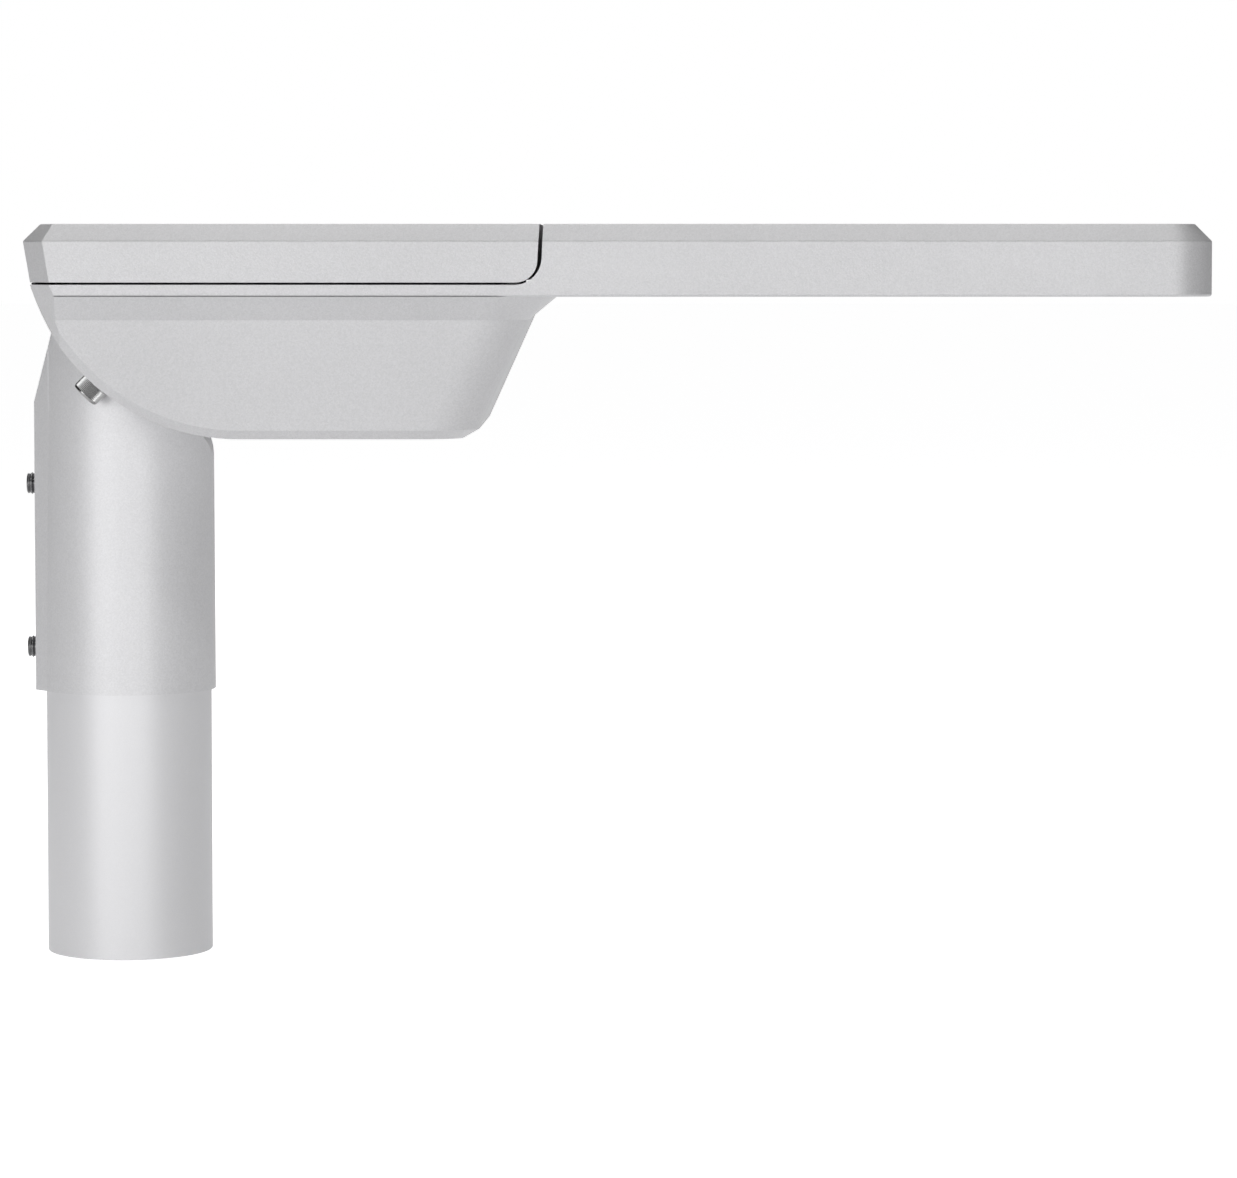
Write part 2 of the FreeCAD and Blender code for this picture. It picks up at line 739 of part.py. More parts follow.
def latch_paddle():
    """The pull plate flush in the cover's rear face, with its barrel, stem and nose."""
    lean = (rear_high_x - rear_low_x) / (edge_high - parting - parting_gap)

    def face_at(z):
        return rear_low_x + lean * (z - parting - parting_gap)

    low, high = paddle_edges
    plate = side_plate([(face_at(low), low), (face_at(high), high),
                        (face_at(high) + paddle_thick, high), (face_at(low) + paddle_thick, low)],
                       -latch_half + 0.5, latch_half - 0.5)
    half = latch_barrel_half
    barrel = latch_rod(latch_barrel_radius, half)
    web = box(face_at(latch_z) + 1, latch_x, -half, half, latch_z - 2, latch_z + 1)
    arm = box(latch_x, -20.8, -hook_half, hook_half, latch_z - 2.6, latch_z)
    stem = box(-22.8, -20.8, -hook_half, hook_half, hook_low, latch_z)
    nose = side_plate([(-21, hook_low), (-19.8, hook_low), (-18.8, hook_low + 1.2),
                       (-18.8, hook_low + 2.3), (-21, hook_low + 2.3)], -hook_half, hook_half)
    body = plate.multiFuse([barrel, web, arm, stem, nose])
    spring_room = rod(3.2, Vector(latch_x, 10.8, latch_z), Vector(latch_x, 15.2, latch_z))
    return body.cut(latch_rod(latch_pin_radius + 0.05, 20)).cut(spring_room).removeSplitter()


def latch_spring():
    coil = rod(2.3, Vector(latch_x, 11.1, latch_z), Vector(latch_x, 14.9, latch_z))
    coil = coil.cut(rod(1.45, Vector(latch_x, 11, latch_z), Vector(latch_x, 15, latch_z)))
    leg = box(latch_x - 0.4, latch_x + 0.4, 14.1, 14.9, latch_z + 2.0, latch_z + 8.3)
    return coil.fuse(leg).removeSplitter()


def latch_catch():
    plate = slab(*catch_x, latch_half - 0.5, 0.8, *catch_z)
    for x, y in catch_screws_at:
        plate = plate.cut(Part.makeCylinder(1.7, 3, Vector(x, y, catch_z[0] - 0.5)))
    return plate


def small_screws(spots, radius, head_radius, head_high, seat, length, way):
    """Pan-head screws at these (x, y), with heads on the seat and shanks the given way."""
    shapes = []
    for x, y in spots:
        tip, top = Vector(x, y, seat + way * length), Vector(x, y, seat - way * head_high)
        screw = rod(radius, tip, Vector(x, y, seat)).fuse(rod(head_radius, Vector(x, y, seat), top))
        shapes.append(screw.removeSplitter())
    return Part.makeCompound(shapes)


def cover_gasket():
    return seal_ring(0.15, parting - seal_deep, parting + seal_proud)


def gear_tray():
    plate = slab(*tray_x, tray_half, 5, tray_z, tray_top)
    for x, y in tray_screws_at:
        plate = plate.cut(Part.makeCylinder(2.3, 4, Vector(x, y, tray_z - 1)))
    for x in tray_slots:
        plate = plate.cut(slab(x - 8, x + 8, 9, 4, tray_z - 1, tray_top + 1).translated(
            Vector(0, -18, 0)))
    lip = box(tray_x[0], tray_x[0] + tray_thick, -78, 78, tray_z, tray_z + tray_lip)
    return plate.fuse(lip).removeSplitter()


def led_driver():
    x0, x1, y0, y1, z0, z1 = driver_box
    case = box(x0 + driver_ear, x1 - driver_ear, y0, y1, z0, z1)
    case = case.makeFillet(case_round, [e for e in case.Edges if e.BoundBox.ZMin > z1 - 0.1])
    ends = box(x0, x1, y0 + 4, y1 - 4, z0, z0 + driver_ear_thick)
    for x, y in driver_screws_at():
        ends = ends.cut(Part.makeCylinder(2.2, 6, Vector(x, y, z0 - 1)))
    return case.fuse(ends).removeSplitter()


def driver_screws_at():
    x0, x1, y0, y1 = driver_box[:4]
    return [(x, (y0 + y1) / 2) for x in (x0 + driver_ear / 2, x1 - driver_ear / 2)]


def surge_protector():
    body = box(*surge_box)
    return body.makeFillet(case_round, [e for e in body.Edges if e.BoundBox.ZLength > 10])


def terminal_rows():
    return [terminal_box[2] + terminal_first + i * terminal_pitch for i in range(terminal_ways)]


def terminal_screws_at():
    x0, x1 = terminal_box[:2]
    return [(x, y) for y in terminal_rows() for x in (x0 + terminal_screw_x, x1 - terminal_screw_x)]


def terminal_block():
    x0, x1, y0, y1, z0, z1 = terminal_box
    body = box(*terminal_box)
    for y in terminal_rows():
        body = body.cut(box(x0 - 1, x0 + 7, y - 3, y + 3, z0 + 3.5, z0 + 9.5))
        body = body.cut(box(x1 - 7, x1 + 1, y - 3, y + 3, z0 + 3.5, z0 + 9.5))
    for x, y in terminal_screws_at():
        body = body.cut(Part.makeCylinder(2.6, 6, Vector(x, y, z1 - terminal_screw_deep)))
    return body


def terminal_screws():
    low = terminal_box[5] - terminal_screw_deep
    return Part.makeCompound([
        Part.makeCylinder(2.5, 3.0, Vector(x, y, low)) for x, y in terminal_screws_at()])


def terminal_rail():
    x0, x1, y0, y1 = terminal_box[:4]
    return box(x0 + 2, x1 - 2, y0 - 8, y1 + 4, tray_top, tray_top + rail_thick)


def mains_lead():
    x0, z0 = terminal_box[0], terminal_box[4]
    y = terminal_rows()[-1]
    z = z0 + 6.5
    driver_x, driver_z = driver_box[0] + driver_ear, tray_top + 12
    return lead([(x0 - 0.1 + 3, y, z), (x0 - 12, y, z), (x0 - 20, y + 18, z + 1),
                 (x0 - 20, 20, driver_z), (x0 - 10, 36, driver_z), (driver_x, 36, driver_z)],
                mains_lead_radius)


def led_lead():
    x = driver_box[1] - driver_ear
    z = tray_top + 14.5
    return lead([(x, duct_y, z), (x + 10, duct_y, z), duct_points[1],
                 (connector_x, duct_y, duct_z)], led_lead_radius, 12.0)


def lead_grommet():
    x = chamber_x[0]

    def ring(radius, x0, x1):
        return rod(radius, Vector(x0, duct_y, duct_z), Vector(x1, duct_y, duct_z))

    collar = ring(duct_radius - 0.1, x - 13, x).fuse(ring(duct_radius + 1.3, x, x + 1.5))
    return collar.cut(ring(led_lead_radius + 0.05, x - 14, x + 4)).removeSplitter()


def cable_clamp():
    (x, y0), (_, y1) = clamp_at
    middle = (y0 + y1) / 2
    low = clamp_z[0]
    bridge = slab(-5, 5, (y1 - y0) / 2 + 5, 3, *clamp_z).translated(Vector(x, middle, 0))
    bridge = bridge.cut(rod(clamp_grip, Vector(x - 10, middle, low - 0.2),
                            Vector(x + 10, middle, low - 0.2)))
    for y in (y0, y1):
        bridge = bridge.cut(Part.makeCylinder(1.9, 20, Vector(x, y, low - 5)))
    return bridge


def entry_grommet():
    """The rubber lining of the slot that the supply cable comes up through."""
    start, end = entry_angles
    half = entry_radius - 0.05
    outer = tilt_sector(round_radius - 4.4, round_radius - 0.6, start, end, -half, half)
    inner = tilt_sector(80, 100, start + 1.4, end - 1.4, -entry_radius + 2, entry_radius - 2)
    return outer.cut(inner)


def earth_screw():
    x, y = earth_at
    return rod(2.45, Vector(x, y, earth_seat - 8), Vector(x, y, earth_seat)).fuse(
        rod(4.6, Vector(x, y, earth_seat), Vector(x, y, earth_seat + 3.2))).removeSplitter()


def breather_vent():
    x, y = vent_at
    cap = Part.makeCylinder(vent_radius, 1.9, Vector(x, y, box_low + 0.2))
    stem = Part.makeCylinder(vent_stem_radius, 6.5, Vector(x, y, box_low + 0.2))
    return cap.fuse(stem).removeSplitter()


def led_spots(module):
    middle = module_first + module * module_pitch
    return [(middle + (i - 1) * led_pitch_x, (j - 1.5) * led_pitch_y)
            for i in range(led_columns) for j in range(led_rows)]


def led_board():
    plate = slab(*board_x, board_half, 4, board_low, chamber_top)
    for x, y in board_screws_at:
        plate = plate.cut(Part.makeCylinder(1.7, 4, Vector(x, y, board_low - 1)))
    return plate


def led_chips():
    return Part.makeCompound([
        box(x - chip_half, x + chip_half, y - chip_half, y + chip_half,
            board_low - chip_high, board_low)
        for m in range(module_count) for x, y in led_spots(m)])


def lens_arrays():
    shapes = []
    for m in range(module_count):
        middle = module_first + m * module_pitch
        half_x, half_y = lens_plate_half
        plate = slab(middle - half_x, middle + half_x, half_y, 3, lens_z, lens_z + lens_thick)
        for x, y in led_spots(m):
            ball = Part.makeSphere(lens_radius, Vector(x, y, lens_z + lens_sunk))
            plate = plate.fuse(ball.common(box(x - 9, x + 9, y - 9, y + 9, lens_z - 8, lens_z)))
        for x in (middle - 21, middle + 21):
            for y in (-74, 74):
                plate = plate.fuse(Part.makeCylinder(
                    1.5, board_low - lens_z - lens_thick, Vector(x, y, lens_z + lens_thick)))
        shapes.append(plate.removeSplitter())
    return Part.makeCompound(shapes)


def board_connector():
    long, half = connector_size
    return box(connector_x, connector_x + long, duct_y - half, duct_y + half,
               window_ledge + 0.1, board_low)


def frame_parts():
    """Glass, its seal and the frame below them, stacked in the arm's window."""
    x0, x1 = window_x
    slack = frame_slack
    frame_top = frame_low + frame_thick
    glass_top = frame_top + glass_thick

    def inset(by, corner, z0, z1):
        return slab(x0 + by, x1 - by, window_half - by, corner, z0, z1)

    frame = inset(slack, 9.5, frame_low, frame_top)
    frame = frame.cut(inset(frame_wide, 6, frame_low - 1, frame_top + 1))
    for x, y in frame_screws_at:
        frame = frame.cut(Part.makeCylinder(2.2, 6, Vector(x, y, frame_low - 1)))
        frame = frame.cut(Part.makeCylinder(4.0, 1.4, Vector(x, y, frame_low - 0.1)))
    glass = inset(glass_inset, 6, frame_top, glass_top)
    seal = inset(glass_inset, 6, glass_top, window_ledge)
    seal = seal.cut(inset(glass_seal_inset, 4, 300, 320))
    return frame, glass, seal


def build():
    """Every piece under its own name."""
    frame, glass, seal = frame_parts()
    catch_top = catch_z[1]
    pieces.update({
        "pole_tube": pole_tube(),
        "spigot_adapter": spigot_adapter(),
        "set_screws": set_screws(),
        "saddle_seal": saddle_seal(),
        "housing": housing(),
        "tilt_screws": tilt_screws(),
        "tilt_washers": tilt_washers(),
        "cover_gasket": cover_gasket(),
        "top_cover": top_cover(),
        "hinge_pins": hinge_pins(),
        "latch_paddle": latch_paddle(),
        "latch_pin": latch_pin(),
        "latch_spring": latch_spring(),
        "latch_catch": latch_catch(),
        "catch_screws": small_screws(catch_screws_at, 1.45, 2.6, 1.6, catch_top, 6.5, -1),
        "gear_tray": gear_tray(),
        "tray_screws": small_screws(tray_screws_at, 1.95, 4.0, 2.6, tray_top, 9.0, -1),
        "led_driver": led_driver(),
        "driver_screws": small_screws(driver_screws_at(), 2.0, 4.0, 2.6,
                                      tray_top + driver_ear_thick, 3.0, -1),
        "surge_protector": surge_protector(),
        "terminal_rail": terminal_rail(),
        "terminal_block": terminal_block(),
        "terminal_screws": terminal_screws(),
        "cable_clamp": cable_clamp(),
        "clamp_screws": small_screws(clamp_at, 1.7, 3.6, 2.4, clamp_z[1], 15.0, -1),
        "mains_lead": mains_lead(),
        "led_lead": led_lead(),
        "lead_grommet": lead_grommet(),
        "entry_grommet": entry_grommet(),
        "earth_screw": earth_screw(),
        "breather_vent": breather_vent(),
        "led_board": led_board(),
        "led_chips": led_chips(),
        "lens_arrays": lens_arrays(),
        "board_connector": board_connector(),
        "board_screws": small_screws(board_screws_at, 1.45, 2.8, 1.8, board_low, 4.5, 1),
        "glass_frame": frame,
        "window_glass": glass,
        "glass_gasket": seal,
        "frame_screws": small_screws(frame_screws_at, 1.95, 3.8, 1.2, frame_low + 1.3, 15.0, 1),
    })


os.makedirs("parts", exist_ok=True)
build()
for name, shape in pieces.items():
    if not shape.isValid():
        print("not valid:", name)
    shape.exportStep("parts/" + name + ".step")
    print(name, len(shape.Solids), round(shape.Volume))
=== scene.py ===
import json
import math
import bmesh
import bpy
from mathutils import Matrix, Vector


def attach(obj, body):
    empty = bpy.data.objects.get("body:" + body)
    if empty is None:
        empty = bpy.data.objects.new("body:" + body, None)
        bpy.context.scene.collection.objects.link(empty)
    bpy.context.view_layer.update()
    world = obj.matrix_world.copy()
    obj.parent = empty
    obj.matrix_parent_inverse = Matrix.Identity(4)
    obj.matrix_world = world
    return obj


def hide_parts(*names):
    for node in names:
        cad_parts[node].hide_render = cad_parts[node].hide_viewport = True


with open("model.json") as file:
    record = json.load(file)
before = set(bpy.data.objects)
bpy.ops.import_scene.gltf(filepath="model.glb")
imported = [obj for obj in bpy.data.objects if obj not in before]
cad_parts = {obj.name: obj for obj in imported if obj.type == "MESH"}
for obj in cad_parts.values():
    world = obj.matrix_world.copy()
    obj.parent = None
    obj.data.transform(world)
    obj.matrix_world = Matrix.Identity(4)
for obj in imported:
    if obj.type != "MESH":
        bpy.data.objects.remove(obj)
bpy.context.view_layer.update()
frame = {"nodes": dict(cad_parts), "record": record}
mm = 0.001
scene = bpy.context.scene
print("frame loaded:", len(frame["nodes"]), "nodes")


def sinDeg(degrees):
    return math.sin(math.radians(degrees))


def cosDeg(degrees):
    return math.cos(math.radians(degrees))


camera = {
    "place": (0.2266, -2.1, 0.320),  # level with the light arm
    "lens": 132.4,
    "sensor": 36,
    "down": 3.2,                     # degrees of pitch
    "shift": -0.0617,
    "clip": (0.05, 40),
}

stage = {
    "floorHalf": 30.0,
    "floorDrop": 0.0006,
    "floorColour": (0.86, 0.86, 0.87, 1),
    "floorRoughness": 0.9,
    "floorGlow": 0.52,               # what the floor lends to the shapes above it
    "floorSeen": 0.85,
    "white": (1, 1, 1, 1),
    "ambient": 0.20,
    "overhead": 1.05,                # light from above, which fades towards the side walls
    "boxes": {                       # size, place, aim, watts
        "left": ((1.7, 1.4), (-1.35, -2.5, 0.25), (0.0, 0, 0.20), 30.0),
        "right": ((1.1, 1.2), (1.25, -2.6, 0.25), (0.15, 0, 0.20), 14.5),
        "front": ((1.2, 0.8), (0.1, -2.9, 0.10), (0.05, 0, 0.15), 12.0),
        "brow": ((2.2, 0.25), (0.2, -1.6, 2.0), (0.2, 0, 0.3), 11.0),
        "top": ((1.8, 1.4), (0.20, 0.4, 1.9), (0.2, 0, 0.3), 17.0),
        "back": ((1.6, 1.0), (-0.3, 2.6, 1.5), (0.2, 0, 0.25), 9.0),
    },
}


def makeCamera():
    data = bpy.data.cameras.new("studioCamera")
    data.lens = camera["lens"]
    data.sensor_width = camera["sensor"]
    data.shift_y = camera["shift"]
    data.clip_start, data.clip_end = camera["clip"]
    eye = bpy.data.objects.new("studioCamera", data)
    eye.location = camera["place"]
    eye.rotation_euler = (math.radians(90 - camera["down"]), 0, 0)
    scene.collection.objects.link(eye)
    scene.camera = eye


def areaLight(name, size, place, aim, power):
    data = bpy.data.lights.new(name, "AREA")
    data.shape = "RECTANGLE"
    data.size, data.size_y = size
    data.energy = power
    lamp = bpy.data.objects.new(name, data)
    lamp.location = place
    way = Vector(aim) - Vector(place)
    lamp.rotation_euler = way.to_track_quat("-Z", "Y").to_euler()
    scene.collection.objects.link(lamp)


def makeFloor():
    # paper that gives light from above and hides nothing from below
    bm = bmesh.new()
    bmesh.ops.create_grid(bm, x_segments=1, y_segments=1, size=stage["floorHalf"])
    bmesh.ops.translate(bm, verts=bm.verts, vec=(0, 0, -stage["floorDrop"]))
    mesh = bpy.data.meshes.new("studioFloor")
    bm.to_mesh(mesh)
    bm.free()
    floor = bpy.data.objects.new("studioFloor", mesh)
    scene.collection.objects.link(floor)
    material = bpy.data.materials.new("floorPaper")
    material.use_nodes = True
    mesh.materials.append(material)
    tree = material.node_tree
    shader = tree.nodes["Principled BSDF"]
    shader.inputs["Base Color"].default_value = stage["floorColour"]
    shader.inputs["Roughness"].default_value = stage["floorRoughness"]
    shader.inputs["Emission Color"].default_value = stage["white"]
    path = node(tree, "LightPath")
    seen = maths(tree, "MULTIPLY", path.outputs["Is Camera Ray"],
                 stage["floorSeen"] - stage["floorGlow"])
    glow = maths(tree, "ADD", seen, stage["floorGlow"])
    tree.links.new(glow, shader.inputs["Emission Strength"])
    side = node(tree, "NewGeometry").outputs["Backfacing"]
    oneSided = shaderMix(tree, side, shader, node(tree, "BsdfTransparent"))
    tree.links.new(oneSided, tree.nodes["Material Output"].inputs["Surface"])


def makeAir():
    # white behind the object, and around it a dim room that is darker to the left and right
    world = bpy.data.worlds.new("studioAir")
    scene.world = world
    world.use_nodes = True
    tree = world.node_tree
    room = tree.nodes["Background"]
    room.inputs["Color"].default_value = stage["white"]
    split = node(tree, "SeparateXYZ")
    tree.links.new(node(tree, "TexCoord").outputs["Generated"], split.inputs[0])
    sideways = maths(tree, "MULTIPLY", split.outputs["X"], split.outputs["X"])
    walls = maths(tree, "SUBTRACT", stage["overhead"], sideways)
    tree.links.new(maths(tree, "MULTIPLY", walls, stage["ambient"]), room.inputs["Strength"])
    backdrop = node(tree, "Background")
    backdrop.inputs["Color"].default_value = stage["white"]
    path = node(tree, "LightPath")
    shown = shaderMix(tree, path.outputs["Is Camera Ray"], room, backdrop)
    tree.links.new(shown, tree.nodes["World Output"].inputs["Surface"])


def makeStage():
    makeFloor()
    makeAir()
    for side, (size, place, aim, power) in stage["boxes"].items():
        areaLight(side + "Softbox", size, place, aim, power)
    scene.view_settings.view_transform = "Standard"


def newGroup(name, inputs, outputs):
    tree = bpy.data.node_groups.new(name, "ShaderNodeTree")
    for label, kind, value in inputs:
        socket = tree.interface.new_socket(name=label, in_out="INPUT",
                                           socket_type="NodeSocket" + kind)
        if value is not None:
            socket.default_value = value
    for label, kind in outputs:
        tree.interface.new_socket(name=label, in_out="OUTPUT", socket_type="NodeSocket" + kind)
    return tree, tree.nodes.new("NodeGroupInput"), tree.nodes.new("NodeGroupOutput")


def node(tree, kind, settings=None, **values):
    made = tree.nodes.new("ShaderNode" + kind)
    for key, value in (settings or {}).items():
        setattr(made, key, value)
    for key, value in values.items():
        made.inputs[key.replace("_", " ")].default_value = value
    return made


def maths(tree, operation, first, second=None, clamp=False):
    # first and second are sockets or numbers
    made = tree.nodes.new("ShaderNodeMath")
    made.operation = operation
    made.use_clamp = clamp
    for i, value in enumerate((first, second)):
        if isinstance(value, (int, float)):
            made.inputs[i].default_value = value
        elif value is not None:
            tree.links.new(value, made.inputs[i])
    return made.outputs[0]


def shaderMix(tree, share, first, second):
    mix = node(tree, "MixShader")
    sources = (share, first.outputs[0], second.outputs[0])
    for source, socket in zip(sources, mix.inputs):
        tree.links.new(source, socket)
    return mix.outputs[0]


colourSockets = {"share": 0, "first": 6, "second": 7, "result": 2}  # of a Mix node set to RGBA


def colourMix(tree, share, first, second):
    # first and second are colours or sockets
    mix = node(tree, "Mix", {"data_type": "RGBA"})
    tree.links.new(share, mix.inputs[colourSockets["share"]])
    for key, value in (("first", first), ("second", second)):
        socket = mix.inputs[colourSockets[key]]
        if isinstance(value, tuple):
            socket.default_value = (*value, 1)
        else:
            tree.links.new(value, socket)
    return mix.outputs[colourSockets["result"]]


grain = {
    "flakeScale": 1.7, "pitDepth": 0.35,        # of the coat's speckle, against its fine noise
    "toneShare": 0.55, "speckShare": 0.45,      # of what tints the coat
    "dust": (0.55, 0.53, 0.5),
}


def makePaintGrain():
    # fine orange-peel texture of a baked powder coat, with a slow drift of tone
    inputs = [("Vector", "Vector", None), ("Scale", "Float", 900.0), ("Drift", "Float", 9.0)]
    outputs = [("Height", "Float"), ("Speck", "Float"), ("Tone", "Float")]
    tree, given, out = newGroup("paintGrain", inputs, outputs)
    link = tree.links.new
    fine = node(tree, "TexNoise", Detail=3.0, Roughness=0.55)
    flakes = node(tree, "TexVoronoi")
    slow = node(tree, "TexNoise", Detail=2.0)
    for texture in (fine, flakes, slow):
        link(given.outputs["Vector"], texture.inputs["Vector"])
    link(given.outputs["Scale"], fine.inputs["Scale"])
    link(maths(tree, "MULTIPLY", given.outputs["Scale"], grain["flakeScale"]),
         flakes.inputs["Scale"])
    link(given.outputs["Drift"], slow.inputs["Scale"])
    pits = maths(tree, "MULTIPLY", flakes.outputs["Distance"], grain["pitDepth"])
    link(maths(tree, "SUBTRACT", fine.outputs["Fac"], pits), out.inputs["Height"])
    link(flakes.outputs["Color"], out.inputs["Speck"])
    link(slow.outputs["Fac"], out.inputs["Tone"])
    return tree


def makeSettledDust():
    # more on faces that look up, broken by noise
    inputs = [("Vector", "Vector", None), ("Amount", "Float", 0.2)]
    tree, given, out = newGroup("settledDust", inputs, [("Mask", "Float")])
    link = tree.links.new
    split = node(tree, "SeparateXYZ")
    link(node(tree, "NewGeometry").outputs["Normal"], split.inputs[0])
    cloud = node(tree, "TexNoise", Scale=24.0, Detail=5.0, Roughness=0.65)
    link(given.outputs["Vector"], cloud.inputs["Vector"])
    upward = maths(tree, "MAXIMUM", split.outputs["Z"], 0.0)
    settled = maths(tree, "MULTIPLY", upward, cloud.outputs["Fac"])
    link(maths(tree, "MULTIPLY", settled, given.outputs["Amount"], True), out.inputs["Mask"])
    return tree


def makeToolMarks():
    # drawn-out streaks, as turning or rolling leaves on metal
    inputs = [("Vector", "Vector", None), ("Scale", "Float", 300.0)]
    tree, given, out = newGroup("toolMarks", inputs, [("Height", "Float"), ("Tone", "Float")])
    link = tree.links.new
    streak = node(tree, "TexNoise", Detail=4.0, Roughness=0.7)
    link(given.outputs["Vector"], streak.inputs["Vector"])
    link(given.outputs["Scale"], streak.inputs["Scale"])
    blotch = node(tree, "TexNoise", Scale=60.0, Detail=3.0)
    link(given.outputs["Vector"], blotch.inputs["Vector"])
    link(streak.outputs["Fac"], out.inputs["Height"])
    link(maths(tree, "MULTIPLY", streak.outputs["Fac"], blotch.outputs["Fac"]),
         out.inputs["Tone"])
    return tree


paintGrain = makePaintGrain()
settledDust = makeSettledDust()
toolMarks = makeToolMarks()


def finish(name, colour, second, metallic, roughness, group, scale, bump, stretch=(1, 1, 1),
           sockets=None, roughSwing=0.08, dust=0.0):
    # a Principled material whose colour, roughness and normal follow one of the shared groups
    material = bpy.data.materials.new(name)
    material.use_nodes = True
    tree = material.node_tree
    link = tree.links.new
    shader = tree.nodes["Principled BSDF"]
    shader.inputs["Metallic"].default_value = metallic
    for key, value in (sockets or {}).items():
        shader.inputs[key].default_value = value
    place = node(tree, "TexCoord")
    stretched = node(tree, "Mapping", Scale=stretch)
    link(place.outputs["Object"], stretched.inputs["Vector"])
    effect = node(tree, "Group", {"node_tree": group}, Scale=scale)
    link(stretched.outputs["Vector"], effect.inputs["Vector"])
    tone = effect.outputs["Tone"]
    if "Speck" in effect.outputs:
        tone = maths(tree, "ADD", maths(tree, "MULTIPLY", tone, grain["toneShare"]),
                     maths(tree, "MULTIPLY", effect.outputs["Speck"], grain["speckShare"]))
    shown = colourMix(tree, tone, colour, second)
    if dust:
        layer = node(tree, "Group", {"node_tree": settledDust}, Amount=dust)
        link(place.outputs["Object"], layer.inputs["Vector"])
        shown = colourMix(tree, layer.outputs["Mask"], shown, grain["dust"])
    link(shown, shader.inputs["Base Color"])
    swing = maths(tree, "MULTIPLY", tone, roughSwing)
    link(maths(tree, "ADD", swing, roughness - roughSwing / 2, True), shader.inputs["Roughness"])
    relief = node(tree, "Bump", Strength=bump[0], Distance=bump[1])
    link(effect.outputs["Height"], relief.inputs["Height"])
    link(relief.outputs["Normal"], shader.inputs["Normal"])
    return material


def grey(value, tint=(1, 1, 1)):
    return tuple(value * t for t in tint)


coolTint = (0.985, 0.983, 1.0)
# name, two colours, metallic, roughness, texture and its scale, strength and depth of the relief
finishes = {
    "silver_paint": finish("silverPaint", grey(0.40, coolTint), grey(0.56, coolTint), 0.35, 0.45,
                           paintGrain, 1000.0, (0.45, 0.00022), dust=0.12),
    # the adapter's coat is the silver paint made lighter: painted light, standing in for the
    # brighter light on the collar
    "adapter_paint": finish("adapterPaint", grey(0.49, coolTint), grey(0.65, coolTint), 0.35, 0.45,
                            paintGrain, 1000.0, (0.30, 0.00014), dust=0.12),
    "pole_paint": finish("polePaint", grey(0.57, coolTint), grey(0.63, coolTint), 0.35, 0.44,
                         paintGrain, 1500.0, (0.16, 0.00010)),
    "stainless": finish("stainlessSteel", (0.27, 0.27, 0.27), (0.46, 0.46, 0.455), 1.0, 0.27,
                        toolMarks, 420.0, (0.15, 0.00005)),
    "dark_steel": finish("blackedSteel", (0.17, 0.17, 0.175), (0.34, 0.34, 0.34), 1.0, 0.3,
                         toolMarks, 380.0, (0.15, 0.00005)),
    "zinc_steel": finish("zincSheet", (0.55, 0.56, 0.58), (0.74, 0.75, 0.77), 0.95, 0.34,
                         toolMarks, 120.0, (0.12, 0.00006), stretch=(1, 0.08, 1)),
    "seal_rubber": finish("sealRubber", (0.018, 0.018, 0.019), (0.035, 0.035, 0.035), 0.0, 0.68,
                          paintGrain, 700.0, (0.2, 0.0001)),
    "driver_case": finish("driverCase", (0.62, 0.62, 0.60), (0.72, 0.72, 0.70), 0.0, 0.5,
                          paintGrain, 600.0, (0.2, 0.0001)),
    "gear_plastic": finish("gearPlastic", (0.04, 0.042, 0.045), (0.06, 0.062, 0.065), 0.0, 0.5,
                           paintGrain, 800.0, (0.2, 0.0001)),
    "terminal_plastic": finish("terminalPlastic", (0.32, 0.33, 0.34), (0.4, 0.41, 0.42), 0.0, 0.45,
                               paintGrain, 500.0, (0.1, 0.0001)),
    "brass_screw": finish("platedBrass", (0.72, 0.55, 0.25), (0.82, 0.66, 0.36), 1.0, 0.3,
                          toolMarks, 500.0, (0.1, 0.00005)),
    "lead_sheath": finish("leadSheath", (0.66, 0.66, 0.65), (0.74, 0.74, 0.73), 0.0, 0.42,
                          paintGrain, 400.0, (0.1, 0.0001)),
    "board_white": finish("boardMask", (0.78, 0.79, 0.78), (0.84, 0.85, 0.84), 0.0, 0.35,
                          paintGrain, 300.0, (0.05, 0.00005)),
    "led_phosphor": finish("chipPhosphor", (0.86, 0.72, 0.22), (0.9, 0.78, 0.3), 0.0, 0.4,
                           paintGrain, 2500.0, (0.2, 0.00005)),
    "lens_clear": finish("lensAcrylic", (0.95, 0.96, 0.97), (0.98, 0.98, 0.99), 0.0, 0.08,
                         paintGrain, 200.0, (0.02, 0.00005), roughSwing=0.02,
                         sockets={"Transmission Weight": 0.9, "IOR": 1.49}),
    "window_glass": finish("windowGlass", (0.97, 0.985, 0.98), (0.98, 0.99, 0.985), 0.0, 0.03,
                           paintGrain, 60.0, (0.01, 0.00005), roughSwing=0.02,
                           sockets={"Transmission Weight": 0.95, "IOR": 1.5}),
}
print("finishes made:", len(finishes))


slotOf = {entry["node"]: entry["material_slot"] for entry in frame["record"]["subparts"]}


def finishedPiece(name, bm, body, slot, replaced=(), sharp=32.0, coat=None):
    # scales the drawing to metres, shades it and puts it on its body; coat overrides the slot's
    # own finish
    bmesh.ops.recalc_face_normals(bm, faces=bm.faces)
    bmesh.ops.scale(bm, vec=(mm, mm, mm), verts=bm.verts)
    mesh = bpy.data.meshes.new(name)
    bm.to_mesh(mesh)
    bm.free()
    mesh.shade_smooth()
    mesh.set_sharp_from_angle(angle=math.radians(sharp))
    mesh.materials.append(finishes[coat or slot])
    piece = bpy.data.objects.new(name, mesh)
    scene.collection.objects.link(piece)
    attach(piece, body)
    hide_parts(*replaced)
    print("piece made:", name, len(mesh.polygons), "faces")
    return piece


